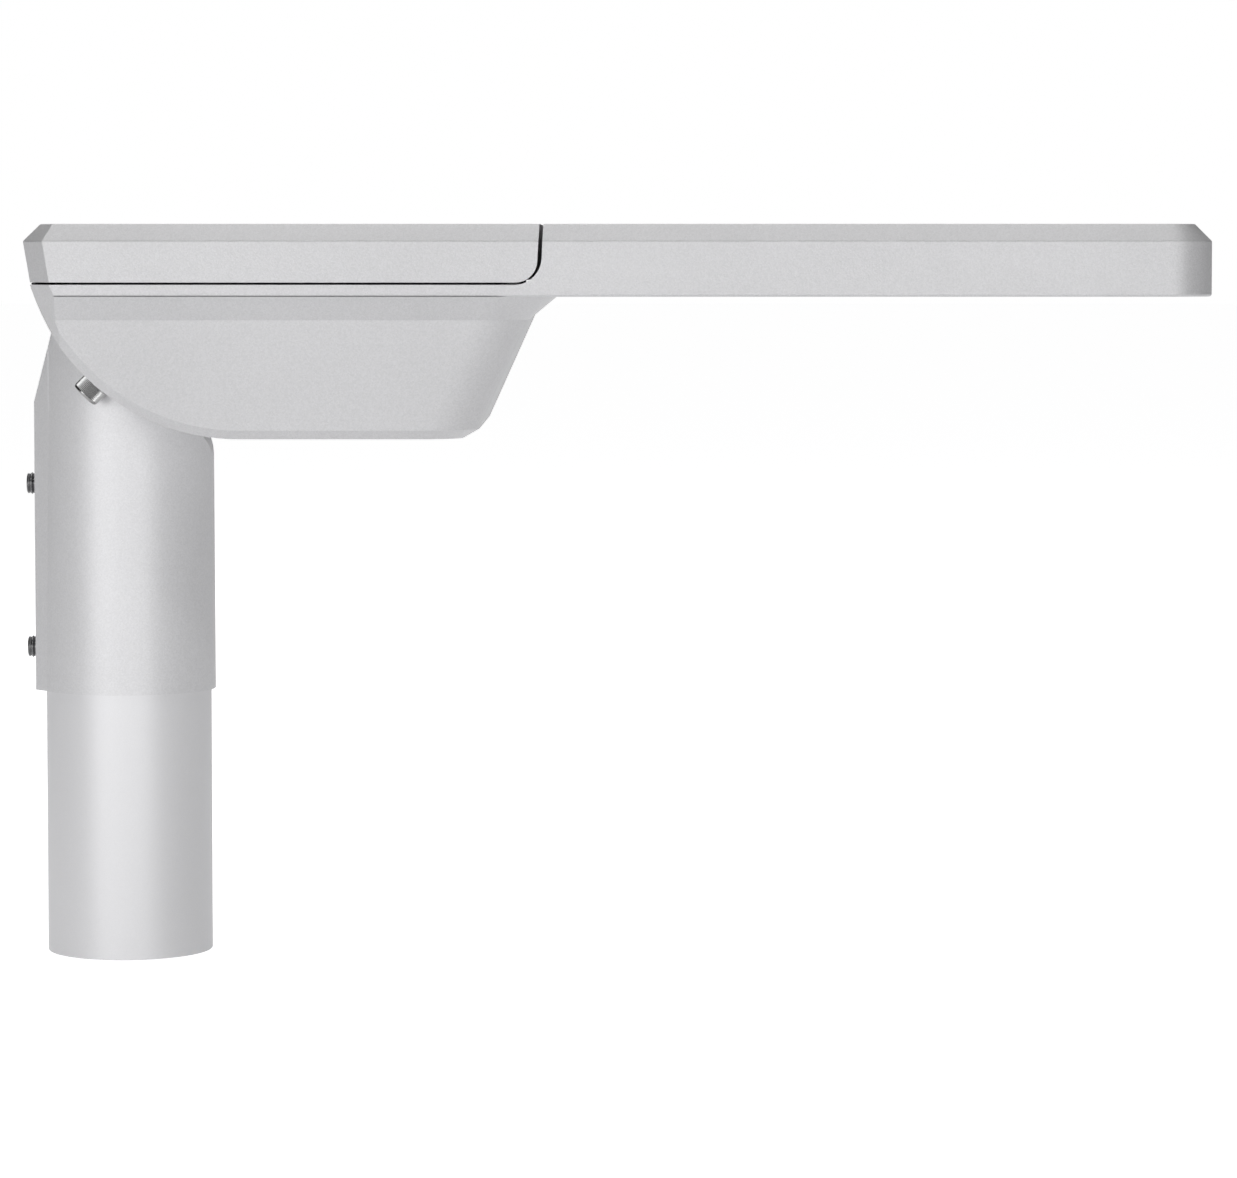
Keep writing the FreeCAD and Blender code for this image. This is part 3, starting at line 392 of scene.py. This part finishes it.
def edgesOf(corners):
    # each edge once, always in the same order
    return list(dict.fromkeys(edge for corner in corners for edge in corner.link_edges))


def bevelEdges(bm, edges, width, segments=2):
    bmesh.ops.bevel(bm, geom=edges, offset=width, offset_type="OFFSET", affect="EDGES",
                    segments=segments, profile=0.5, clamp_overlap=True, material=-1)


outlines = {"hexHalf": 30, "starMean": 0.86, "starSwing": 0.14, "starPoints": 6, "knurl": 0.93}


def hexOutline(turn, share):
    # corners at radius 1, flats between them
    half = outlines["hexHalf"]
    return cosDeg(half) / cosDeg((math.degrees(turn) % (2 * half)) - half)


def starOutline(turn, share):
    return outlines["starMean"] + outlines["starSwing"] * math.cos(outlines["starPoints"] * turn)


def knurlOutline(turn, share):
    return 1.0 if share % 2 else outlines["knurl"]


def stackRings(bm, rings, sides, place):
    # rings run from one end to the other as (radius, height), with an outline after them where
    # they are not round; both ends are closed
    loops = []
    corners = []
    for radius, height, *outline in rings:
        ring = bmesh.ops.create_circle(bm, segments=sides, radius=1.0)["verts"]
        for share, corner in enumerate(ring):
            reach = radius
            if outline:
                reach *= outline[0](math.atan2(corner.co.y, corner.co.x), share)
            corner.co = Vector((corner.co.x * reach, corner.co.y * reach, height))
        loops.append(edgesOf(ring))
        corners += ring
    bmesh.ops.contextual_create(bm, geom=loops[0])
    bmesh.ops.contextual_create(bm, geom=loops[-1])
    for near, far in zip(loops, loops[1:]):
        bmesh.ops.bridge_loops(bm, edges=near + far)
    bmesh.ops.transform(bm, matrix=place, verts=corners)


def rims(profile, radius, base):
    # rings inset from a radius, at heights above a base
    return [(radius - inset, base + height) for inset, height in profile]


def aimed(place, along):
    # local Z becomes the direction along
    turn = Vector(along).to_track_quat("Z", "Y").to_matrix().to_4x4()
    return Matrix.Translation(Vector(place)) @ turn


def brick(bm, low, high, bevel=0.0, segments=2, which=None):
    # a block between two corners, with all or the chosen edges rounded
    made = bmesh.ops.create_cube(bm, size=1.0)["verts"]
    low, high = Vector(low), Vector(high)
    bmesh.ops.scale(bm, vec=high - low, verts=made)
    bmesh.ops.translate(bm, vec=(low + high) / 2, verts=made)
    edges = edgesOf(made)
    if which:
        edges = [edge for edge in edges if which(edge)]
    if bevel:
        bevelEdges(bm, edges, bevel, segments)


uprightRise = 0.5     # millimetres


def upright(edge):
    return abs(edge.verts[0].co.z - edge.verts[1].co.z) > uprightRise


casting = {
    "housing": {"body": "head", "width": 0.7, "sharpest": 24.0, "flat": 0.8},
    "top_cover": {"body": "cover", "width": 0.7, "sharpest": 24.0, "flat": 0.8},
    # the adapter wears the silver paint made lighter, which is painted light on the collar
    "spigot_adapter": {"body": "adapter", "width": 0.8, "sharpest": 30.0, "flat": 0.05,
                       "turned": (0.0388, 0.0402), "coat": "adapter_paint"},
    "glass_frame": {"body": "head", "width": 0.35, "sharpest": 24.0, "flat": 0.8},
}
rounding = {"weld": 0.002, "segments": 3, "clean": 0.01, "sharp": 40.0}
# areas and widths in metres, turns in degrees, and cosines
shading = {
    "flatArea": 0.00004, "broad": 0.008, "curvedShare": 0.3, "still": 0.05,
    "sameSurface": 9.5, "joined": 35.0, "strip": 0.0006, "outward": 0.99, "agree": 0.9998,
}


def flatFaces(bm):
    # large faces that are not strips of a curved surface
    flats = set()
    for face in bm.faces:
        area = face.calc_area()
        if area < shading["flatArea"]:
            continue
        edges = [(edge.calc_length(), math.degrees(edge.calc_face_angle(0.0)))
                 for edge in face.edges]
        around = sum(length for length, turn in edges)
        curved = sum(length for length, turn in edges
                     if shading["still"] < turn < shading["sameSurface"])
        if curved < around * shading["curvedShare"] or 2 * area / around > shading["broad"]:
            flats.add(face.index)
    return flats


def evenNormals(mesh, turned=None):
    # square to the flats, straight out from the axis of a turned wall, and elsewhere the mean of
    # the faces that join smoothly, weighted by their areas
    bm = bmesh.new()
    bm.from_mesh(mesh)
    bm.faces.ensure_lookup_table()
    flats = flatFaces(bm)
    chosen = {}
    for face in bm.faces:
        around = sum(edge.calc_length() for edge in face.edges)
        narrow = 2 * face.calc_area() < around * shading["strip"]
        joined = cosDeg(shading["joined"] if narrow else shading["sameSurface"])
        for corner in face.loops:
            outward = Vector((corner.vert.co.x, corner.vert.co.y, 0))
            reach = outward.length
            outward.normalize()
            if (turned and turned[0] < reach < turned[1]
                    and face.normal.dot(outward) > shading["outward"]):
                normal = outward
            elif face.index in flats:
                normal = face.normal.copy()
            else:
                normal = Vector((0, 0, 0))
                for other in corner.vert.link_faces:
                    if other.normal.dot(face.normal) > joined:
                        normal += other.normal * other.calc_area()
                normal.normalize()
            chosen[face.index, corner.vert.index] = normal
    # shading breaks wherever two faces disagree at a corner
    for edge in bm.edges:
        if len(edge.link_faces) == 2:
            one, two = (face.index for face in edge.link_faces)
            mesh.edges[edge.index].use_edge_sharp = any(
                chosen[one, corner.index].dot(chosen[two, corner.index]) < shading["agree"]
                for corner in edge.verts)
    bm.free()
    mesh.normals_split_custom_set(list(chosen.values()))


def softenedCasting(name, values):
    # the frame's own shape with its edges rounded so that they catch light
    bm = bmesh.new()
    bm.from_mesh(frame["nodes"][name].data)
    bmesh.ops.scale(bm, vec=(1 / mm, 1 / mm, 1 / mm), verts=bm.verts)
    bmesh.ops.remove_doubles(bm, verts=bm.verts, dist=rounding["weld"])
    bmesh.ops.dissolve_limit(bm, angle_limit=math.radians(values["flat"]),
                             verts=bm.verts, edges=bm.edges)
    crisp = [edge for edge in bm.edges if edge.is_manifold
             and edge.calc_face_angle(0.0) > math.radians(values["sharpest"])]
    bevelEdges(bm, crisp, values["width"], rounding["segments"])
    bmesh.ops.remove_doubles(bm, verts=bm.verts, dist=rounding["clean"])
    bmesh.ops.dissolve_degenerate(bm, edges=bm.edges, dist=rounding["clean"])
    piece = finishedPiece(name + "Casting", bm, values["body"], slotOf[name], [name],
                          rounding["sharp"], values.get("coat"))
    evenNormals(piece.data, values.get("turned"))


makeCamera()
makeStage()
print("camera and stage made")

for name, piece in frame["nodes"].items():
    material = finishes[slotOf[name]]
    if not piece.material_slots:
        piece.data.materials.append(material)
    for place in piece.material_slots:
        place.material = material
print("frame nodes painted")

for name, values in casting.items():
    softenedCasting(name, values)


# profiles are insets from a radius and heights above a base
tiltScrew = {
    "axis": (59.5, 334.5), "angle": 46.0, "side": 49.0, "seat": 98.1, "sides": 108,
    "shank": 4.0, "shankLength": 24.1, "tip": 0.6,
    "threads": 9, "pitch": 1.25, "lead": 0.9, "root": 0.55, "crest": 0.62,
    "head": 6.5, "headHigh": 8.0, "foot": ((0.25, 0.0), (0.05, 0.25), (0.05, 0.9)),
    "knurl": (1.05, 1.35), "crown": ((0.05, -1.2), (0.1, -0.75), (0.3, -0.3), (0.75, 0.0)),
    "socket": 3.46, "mouth": ((-0.75, 0.0), (-0.35, -0.12)), "bite": 0.55, "socketDeep": 6.0,
    "pit": (0.5, 0.9),
}


def makeTiltScrews():
    # socket cap screws with a knurled head, either side of the collar
    v = tiltScrew
    bm = bmesh.new()
    away = Vector((-cosDeg(v["angle"]), 0, -sinDeg(v["angle"])))
    shank, length, head, high = v["shank"], v["shankLength"], v["head"], v["headHigh"]
    socket, floor = v["socket"], high - v["socketDeep"]
    rings = [(shank - v["tip"], -length), (shank, -length + v["tip"])]
    for i in range(v["threads"]):
        start = -length + v["lead"] + i * v["pitch"]
        rings += [(shank - v["root"], start), (shank, start + v["crest"])]
    rings += [(shank, 0.0)] + rims(v["foot"], head, 0.0)
    rings += [(head, v["knurl"][0], knurlOutline), (head, high - v["knurl"][1], knurlOutline)]
    rings += rims(v["crown"], head, high) + rims(v["mouth"], socket, high)
    rings += [(socket, high - v["bite"], hexOutline), (socket, floor, hexOutline),
              (v["pit"][0], floor - v["pit"][1])]
    for side in (-1, 1):
        seat = Vector((v["axis"][0], side * v["side"], v["axis"][1])) + away * v["seat"]
        stackRings(bm, rings, v["sides"], aimed(seat, away))
    finishedPiece("tiltCapScrews", bm, "head", "stainless", ["tilt_screws"], sharp=28.0)


setScrew = {
    "heights": (140.7, 216.3), "radius": 5.0, "tip": 38.12, "end": 46.4, "sides": 60,
    "point": ((1.6, 0.0), (0.5, 0.7)), "rim": ((0.25, -0.45), (0.75, 0.0)),
    "pitch": 1.5, "lead": 0.9, "runOut": 0.5, "root": 0.62, "crest": (0.45, 0.6),
    "socket": 2.89, "mouth": 0.55, "bite": 0.45, "socketDeep": 4.0, "pit": (0.4, 0.8),
}


def makeSetScrews():
    # threaded to the end, with a hexagon socket
    v = setScrew
    bm = bmesh.new()
    length = v["end"] - v["tip"]
    r, socket, floor = v["radius"], v["socket"], length - v["socketDeep"]
    rings = rims(v["point"], r, 0.0)
    height = v["lead"]
    while height + v["pitch"] < length - v["runOut"]:
        rings += [(r - v["root"], height)]
        rings += [(r, height + v["pitch"] * share) for share in v["crest"]]
        height += v["pitch"]
    rings += [(r - v["root"], height)] + rims(v["rim"], r, length)
    rings += [(socket + v["mouth"], length), (socket, length - v["bite"], hexOutline),
              (socket, floor, hexOutline), (v["pit"][0], floor - v["pit"][1])]
    for z in v["heights"]:
        stackRings(bm, rings, v["sides"], aimed((-v["tip"], 0, z), (-1, 0, 0)))
    finishedPiece("setScrews", bm, "adapter", slotOf["set_screws"], ["set_screws"], sharp=28.0)


def grid(across, along):
    return [(x, y) for x in across for y in along]


# spots, seat height, which way the head points, and the shank's and head's radii and lengths
panScrews = {
    "tray_screws": {"spots": grid((36, 152), (-86, 86)), "seat": 257.5, "way": 1,
                    "shank": 1.95, "length": 9.0, "head": 4.0, "high": 2.6},
    "driver_screws": {"spots": grid((42, 152), (44,)), "seat": 260.5, "way": 1,
                      "shank": 2.0, "length": 3.0, "head": 4.0, "high": 2.6},
    "clamp_screws": {"spots": grid((8,), (12, 36)), "seat": 288.0, "way": 1,
                     "shank": 1.7, "length": 15.0, "head": 3.6, "high": 2.4},
    "catch_screws": {"spots": grid((-16,), (-14, 14)), "seat": 304.8, "way": 1,
                     "shank": 1.45, "length": 6.5, "head": 2.6, "high": 1.6},
    "board_screws": {"spots": grid((240, 342, 444), (-82, 82)), "seat": 326.9, "way": -1,
                     "shank": 1.45, "length": 4.5, "head": 2.8, "high": 1.8},
    "frame_screws": {"spots": (grid((220.6, 342, 463.4), (-101.4, 101.4))
                               + grid((220.6, 463.4), (0,))), "seat": 305.2, "way": -1,
                     "shank": 1.95, "length": 15.0, "head": 3.8, "high": 1.2},
    "earth_screw": {"spots": [(20, 70)], "seat": 265.5, "way": 1,
                    "shank": 2.45, "length": 8.0, "head": 4.6, "high": 3.2},
}
# the head's profile is in shares of its radius and height
panHead = {
    "sides": 24, "tip": (0.6, 0.5), "pitch": 1.1, "lead": 0.2, "root": 0.85, "crest": 0.5,
    "neck": 0.05, "dome": ((1.0, 0.4), (0.93, 0.72), (0.78, 0.93), (0.6, 1.0)),
    "star": ((0.48, 1.0), (0.45, 0.3)), "pit": (0.1, 0.2),
}


def makePanScrews(name, v):
    # a threaded shank and a low domed head with a star recess
    pan = panHead
    bm = bmesh.new()
    shank, length, head, high = v["shank"], v["length"], v["head"], v["high"]
    point = shank * pan["tip"][1]
    rings = [(shank * pan["tip"][0], -length), (shank, -length + point)]
    for i in range(int((length - point) / pan["pitch"]) - 1):
        start = -length + point + pan["lead"] + i * pan["pitch"]
        rings += [(shank * pan["root"], start), (shank, start + pan["crest"])]
    rings += [(shank, -pan["neck"]), (head, 0.0)]
    rings += [(head * out, high * up) for out, up in pan["dome"]]
    rings += [(head * out, high * up, starOutline) for out, up in pan["star"]]
    rings += [(head * pan["pit"][0], high * pan["pit"][1])]
    for x, y in v["spots"]:
        stackRings(bm, rings, pan["sides"], aimed((x, y, v["seat"]), (0, 0, v["way"])))
    label = name.replace("_screws", "").replace("_screw", "") + "Screws"
    finishedPiece(label, bm, "head", slotOf[name], [name], sharp=35.0)


makeTiltScrews()
makeSetScrews()
for name, values in panScrews.items():
    makePanScrews(name, values)


lightUnit = {
    "first": 272.0, "modules": 4, "modulePitch": 50.0,
    "columns": 3, "rows": 4, "pitchX": 16.0, "pitchY": 40.0,
    "boardLow": 326.9, "chipHalf": 1.8, "chipHigh": 0.8, "chipRound": 0.25, "chipSet": 0.08,
    "phosphor": 1.35, "phosphorSides": 16, "dot": ((0.0, 0.1), (0.0, 0.03), (0.15, 0.0)),
    "plateLow": 322.6, "plateThick": 1.5, "plateHalf": (23.5, 77.0), "plateCorner": 3.0,
    "dome": 8.0, "domeRise": 3.0, "domeSteps": 6, "domeSides": 20, "domeTip": 0.3,
    "domeCut": 0.02, "domeSunk": 0.03,
    "post": 1.5, "postSpot": (21, 74), "postSides": 12,
}


def chipSpots(module):
    v = lightUnit
    middle = v["first"] + module * v["modulePitch"]
    return [(middle + (i - (v["columns"] - 1) / 2) * v["pitchX"],
             (j - (v["rows"] - 1) / 2) * v["pitchY"])
            for i in range(v["columns"]) for j in range(v["rows"])]


def makeChips():
    v = lightUnit
    bodies, dots = bmesh.new(), bmesh.new()
    half, low = v["chipHalf"], v["boardLow"] - v["chipHigh"]
    for module in range(v["modules"]):
        for x, y in chipSpots(module):
            brick(bodies, (x - half, y - half, low + v["chipSet"]),
                  (x + half, y + half, v["boardLow"]), v["chipRound"], 1, upright)
            stackRings(dots, rims(v["dot"], v["phosphor"], low), v["phosphorSides"],
                       Matrix.Translation((x, y, 0)))
    finishedPiece("chipBodies", bodies, "head", "board_white")
    finishedPiece("chipPhosphor", dots, "head", "led_phosphor", ["led_chips"])


def makeLenses():
    # a clear plate for each module, with a dome under each chip and four posts up to the board
    v = lightUnit
    bm = bmesh.new()
    low, top = v["plateLow"], v["plateLow"] + v["plateThick"]
    radius, rise = v["dome"], v["domeRise"]
    dome = []
    for step in range(v["domeSteps"] + 1):
        height = -radius + (radius - rise) * step / v["domeSteps"] + v["domeCut"]
        dome.append((max(v["domeTip"], math.sqrt(radius ** 2 - height ** 2)), height))
    for module in range(v["modules"]):
        middle = v["first"] + module * v["modulePitch"]
        brick(bm, (middle - v["plateHalf"][0], -v["plateHalf"][1], low),
              (middle + v["plateHalf"][0], v["plateHalf"][1], top), v["plateCorner"], 4, upright)
        for x, y in chipSpots(module):
            stackRings(bm, dome, v["domeSides"],
                       Matrix.Translation((x, y, low + rise - v["domeSunk"])))
        for x in (middle - v["postSpot"][0], middle + v["postSpot"][0]):
            for y in (-v["postSpot"][1], v["postSpot"][1]):
                stackRings(bm, [(v["post"], top), (v["post"], v["boardLow"])], v["postSides"],
                           Matrix.Translation((x, y, 0)))
    finishedPiece("lensPlates", bm, "head", "lens_clear", ["lens_arrays"], sharp=40.0)


makeChips()
makeLenses()


pole = {
    "radius": 38.0, "wall": 3.0, "high": 228.0, "chamfer": 0.5, "sides": 128, "levels": 8,
    "weld": 0.001,
    "seam": 0.35, "seamHalf": 1.6, "seamEnd": 0.6, "seamRoot": 0.2, "seamRound": 0.15,
}


def makePole():
    # a tube turned from its wall's section, cut square, with a flattened weld seam inside
    v = pole
    bm = bmesh.new()
    outer, inner, c, high = v["radius"], v["radius"] - v["wall"], v["chamfer"], v["high"]
    section = [(inner, c), (inner + c, 0), (outer - c, 0), (outer, c)]
    section += [(outer, high * step / v["levels"]) for step in range(1, v["levels"])]
    section += [(outer, high - c), (outer - c, high), (inner + c, high), (inner, high - c)]
    corners = [bm.verts.new((x, 0, z)) for x, z in section]
    edges = [bm.edges.new((a, b)) for a, b in zip(corners, corners[1:] + corners[:1])]
    bmesh.ops.spin(bm, geom=corners + edges, cent=(0, 0, 0), axis=(0, 0, 1),
                   angle=math.radians(360), steps=v["sides"], use_merge=True)
    bmesh.ops.remove_doubles(bm, verts=bm.verts, dist=v["weld"])
    brick(bm, (inner - v["seam"], -v["seamHalf"], v["seamEnd"]),
          (inner + v["seamRoot"], v["seamHalf"], high - v["seamEnd"]), v["seamRound"], 1)
    finishedPiece("poleStub", bm, "pole", "pole_paint", ["pole_tube"], sharp=30.0)


driver = {
    "low": (38.0, 8.0, 257.5), "high": (156.0, 80.0, 291.5), "corner": 2.4,
    "lidHigh": 7.0, "lidRound": 1.4, "lidGap": 0.5, "neckInset": 0.7, "neckHalf": 1,
    "ribs": 9, "ribHalf": 1.3, "ribHigh": 0.9, "ribMargin": 7, "ribEnd": 22, "ribRoot": 1,
    "ribRound": 0.5,
    "tab": 8.0, "tabThick": 3.0, "tabInset": 4.0, "tabLap": 0.5, "tabRound": 1.2,
    "screwSpot": (11, 12), "screwSides": 24, "screwHead": ((3.2, -0.5), (3.2, 0.1), (2.9, 0.3)),
    "screwStar": ((1.5, 0.3), (1.3, -0.2)),
    "ports": 4, "portPitch": 14, "portHalf": 4, "portHeights": (7, 17), "portReach": 1.2,
    "portLap": 0.2, "portRound": 0.8,
}


def makeDriver():
    # a potted case with a lid line, ribs, tabs at the ends and ports
    v = driver
    bm = bmesh.new()
    x0, y0, z0 = v["low"]
    x1, y1, z1 = v["high"]
    left, right, top = x0 + v["tab"], x1 - v["tab"], z1 - v["ribHigh"]
    lidLow, inset = top - v["lidHigh"], v["neckInset"]
    brick(bm, (left, y0, z0), (right, y1, lidLow - v["lidGap"]), v["corner"], 3, upright)
    brick(bm, (left + inset, y0 + inset, lidLow - v["neckHalf"]),
          (right - inset, y1 - inset, lidLow + v["neckHalf"]), v["corner"], 3, upright)
    brick(bm, (left, y0, lidLow), (right, y1, top), v["lidRound"], 3)
    run = y1 - y0 - 2 * v["ribMargin"]
    for i in range(v["ribs"]):
        y = y0 + v["ribMargin"] + run * i / (v["ribs"] - 1)
        brick(bm, (left + v["ribEnd"], y - v["ribHalf"], top - v["ribRoot"]),
              (right - v["ribEnd"], y + v["ribHalf"], z1), v["ribRound"], 2)
    for x, outward in ((x0, 1), (right, -1)):
        brick(bm, (x, y0 + v["tabInset"], z0),
              (x + v["tab"] + outward * v["tabLap"], y1 - v["tabInset"], z0 + v["tabThick"]),
              v["tabRound"], 3, upright)
    screw = [(radius, top + up) for radius, up in v["screwHead"]]
    screw += [(radius, top + up, starOutline) for radius, up in v["screwStar"]]
    for x in (left + v["screwSpot"][0], right - v["screwSpot"][0]):
        for y in (y0 + v["screwSpot"][1], y1 - v["screwSpot"][1]):
            stackRings(bm, screw, v["screwSides"], Matrix.Translation((x, y, 0)))
    firstPort = (y0 + y1) / 2 - v["portPitch"] * (v["ports"] - 1) / 2
    low, high = v["portHeights"]
    for x, outward in ((left, -1), (right, 1)):
        near, far = sorted((x, x + outward * v["portReach"]))
        for i in range(v["ports"]):
            y = firstPort + i * v["portPitch"]
            brick(bm, (near - v["portLap"], y - v["portHalf"], z0 + low),
                  (far + v["portLap"], y + v["portHalf"], z0 + high), v["portRound"], 2)
    finishedPiece("driverCase", bm, "head", slotOf["led_driver"], ["led_driver"])


surge = {
    "low": (96.0, -72.0, 257.5), "high": (142.0, -40.0, 283.5), "corner": 2.0, "step": 3.0,
    "capInset": (5, 2), "capRoot": 1, "capRound": 1.4,
    "bars": (9, 15), "barHalf": 1.1, "barEnd": 5, "barDeep": 1, "barRound": 0.4,
}


def makeSurge():
    # a block with a raised cap
    v = surge
    bm = bmesh.new()
    x0, y0, z0 = v["low"]
    x1, y1, z1 = v["high"]
    shoulder = z1 - v["step"]
    brick(bm, (x0, y0, z0), (x1, y1, shoulder), v["corner"], 3, upright)
    brick(bm, (x0 + v["capInset"][0], y0 + v["capInset"][1], shoulder - v["capRoot"]),
          (x1 - v["capInset"][0], y1 - v["capInset"][1], z1), v["capRound"], 3)
    near, far = v["bars"]
    for x in (x0 + near, x0 + far, x1 - far, x1 - near):
        brick(bm, (x - v["barHalf"], y0 + v["barEnd"], z1 - v["barDeep"]),
              (x + v["barHalf"], y1 - v["barEnd"], z1), v["barRound"], 1)
    finishedPiece("surgeCase", bm, "head", slotOf["surge_protector"], ["surge_protector"])


slottedScrew = {
    "rows": (49.0, 61.0), "first": -67.5, "pitch": 10.5, "count": 4, "seat": 275.5,
    "radius": 2.5, "tall": 3.0, "edge": 0.3, "sides": 28, "slot": 0.45, "weld": 0.0001,
    "turned": 35, "turnedMore": 40, "core": 0.2, "slotDeep": 1.4, "coreSides": 20,
}


def makeTerminalScrews():
    # cheese-head clamping screws: two halves either side of the slot, on a lower core
    v = slottedScrew
    bm = bmesh.new()
    r, h = v["radius"], v["tall"]
    for i in range(v["count"]):
        for x in v["rows"]:
            y = v["first"] + i * v["pitch"]
            turn = math.radians(v["turned"] + v["turnedMore"] * i + x)
            for side in (-1, 1):
                half = bmesh.new()
                stackRings(half, [(r, 0), (r, h - v["edge"]), (r - v["edge"], h)], v["sides"],
                           Matrix())
                bmesh.ops.bisect_plane(half, geom=half.verts[:] + half.edges[:] + half.faces[:],
                                       dist=v["weld"], plane_co=(side * v["slot"], 0, 0),
                                       plane_no=(-side, 0, 0), clear_outer=True)
                rim = [edge for edge in half.edges if edge.is_boundary]
                bmesh.ops.contextual_create(half, geom=rim)
                bmesh.ops.rotate(half, verts=half.verts, matrix=Matrix.Rotation(turn, 3, "Z"))
                bmesh.ops.translate(half, verts=half.verts, vec=(x, y, v["seat"]))
                mesh = bpy.data.meshes.new("half")
                half.to_mesh(mesh)
                half.free()
                bm.from_mesh(mesh)
                bpy.data.meshes.remove(mesh)
            stackRings(bm, [(r - v["core"], 0.0), (r - v["core"], h - v["slotDeep"])],
                       v["coreSides"], Matrix.Translation((x, y, v["seat"])))
    finishedPiece("terminalScrews", bm, "head", slotOf["terminal_screws"], ["terminal_screws"])


gasket = {
    "rear": -7.2, "front": 169.2, "half": 109.7, "corner": 7.2, "inward": 1, "cornerSteps": 8,
    "wide": 3.2, "heights": {"low": 306.4, "high": 309.2},
    # share of the width, and on from there; which height, and up from there
    "section": ((0, 0.15, "low", 0), (1, 0.05, "low", 0), (1, 0.15, "low", 1.3),
                (1, -0.35, "high", -0.35), (0.5, 0.1, "high", 0), (0, 0.55, "high", -0.35),
                (0, 0.05, "low", 1.3)),
}


def makeGasket():
    # a bead's section carried round the mouth of the gear compartment
    v = gasket
    bm = bmesh.new()
    section = [(v["wide"] * share + out, v["heights"][level] + up)
               for share, out, level, up in v["section"]]
    rings = []
    for sx, sy, start in ((1, 1, 0), (-1, 1, 90), (-1, -1, 180), (1, -1, 270)):
        end = v["front"] if sx > 0 else v["rear"]
        cx = end - sx * v["corner"] + sx * v["inward"]
        cy = sy * (v["half"] - v["corner"] + v["inward"])
        for step in range(v["cornerSteps"] + 1):
            turn = start + 90 * step / v["cornerSteps"]
            ring = []
            for out, z in section:
                reach = v["corner"] - v["inward"] + out
                ring.append(bm.verts.new((cx + reach * cosDeg(turn), cy + reach * sinDeg(turn), z)))
            rings.append([bm.edges.new((a, b)) for a, b in zip(ring, ring[1:] + ring[:1])])
    for near, far in zip(rings, rings[1:] + rings[:1]):
        bmesh.ops.bridge_loops(bm, edges=near + far)
    finishedPiece("coverSeal", bm, "head", "seal_rubber", ["cover_gasket"], sharp=50.0)


# rubber stops on the ledge behind the gear compartment, that close the gap under the cover's rear
stop = {
    "x": (-29.6, -9.5), "y": 33.0, "half": 1.5, "z": (308.45, 309.42), "round": 0.25,
    "rear": (-30.3, -28.2), "reach": (24.0, 107.0),
}


def makeStops():
    v = stop
    bm = bmesh.new()
    low, high = v["z"]
    for side in (-1, 1):
        y = side * v["y"]
        near, far = sorted(side * end for end in v["reach"])
        brick(bm, (v["x"][0], y - v["half"], low), (v["x"][1], y + v["half"], high), v["round"], 1)
        brick(bm, (v["rear"][0], near, low), (v["rear"][1], far, high), v["round"], 1)
    finishedPiece("rearStops", bm, "head", "seal_rubber")


makePole()
makeDriver()
makeSurge()
makeTerminalScrews()
makeGasket()
makeStops()
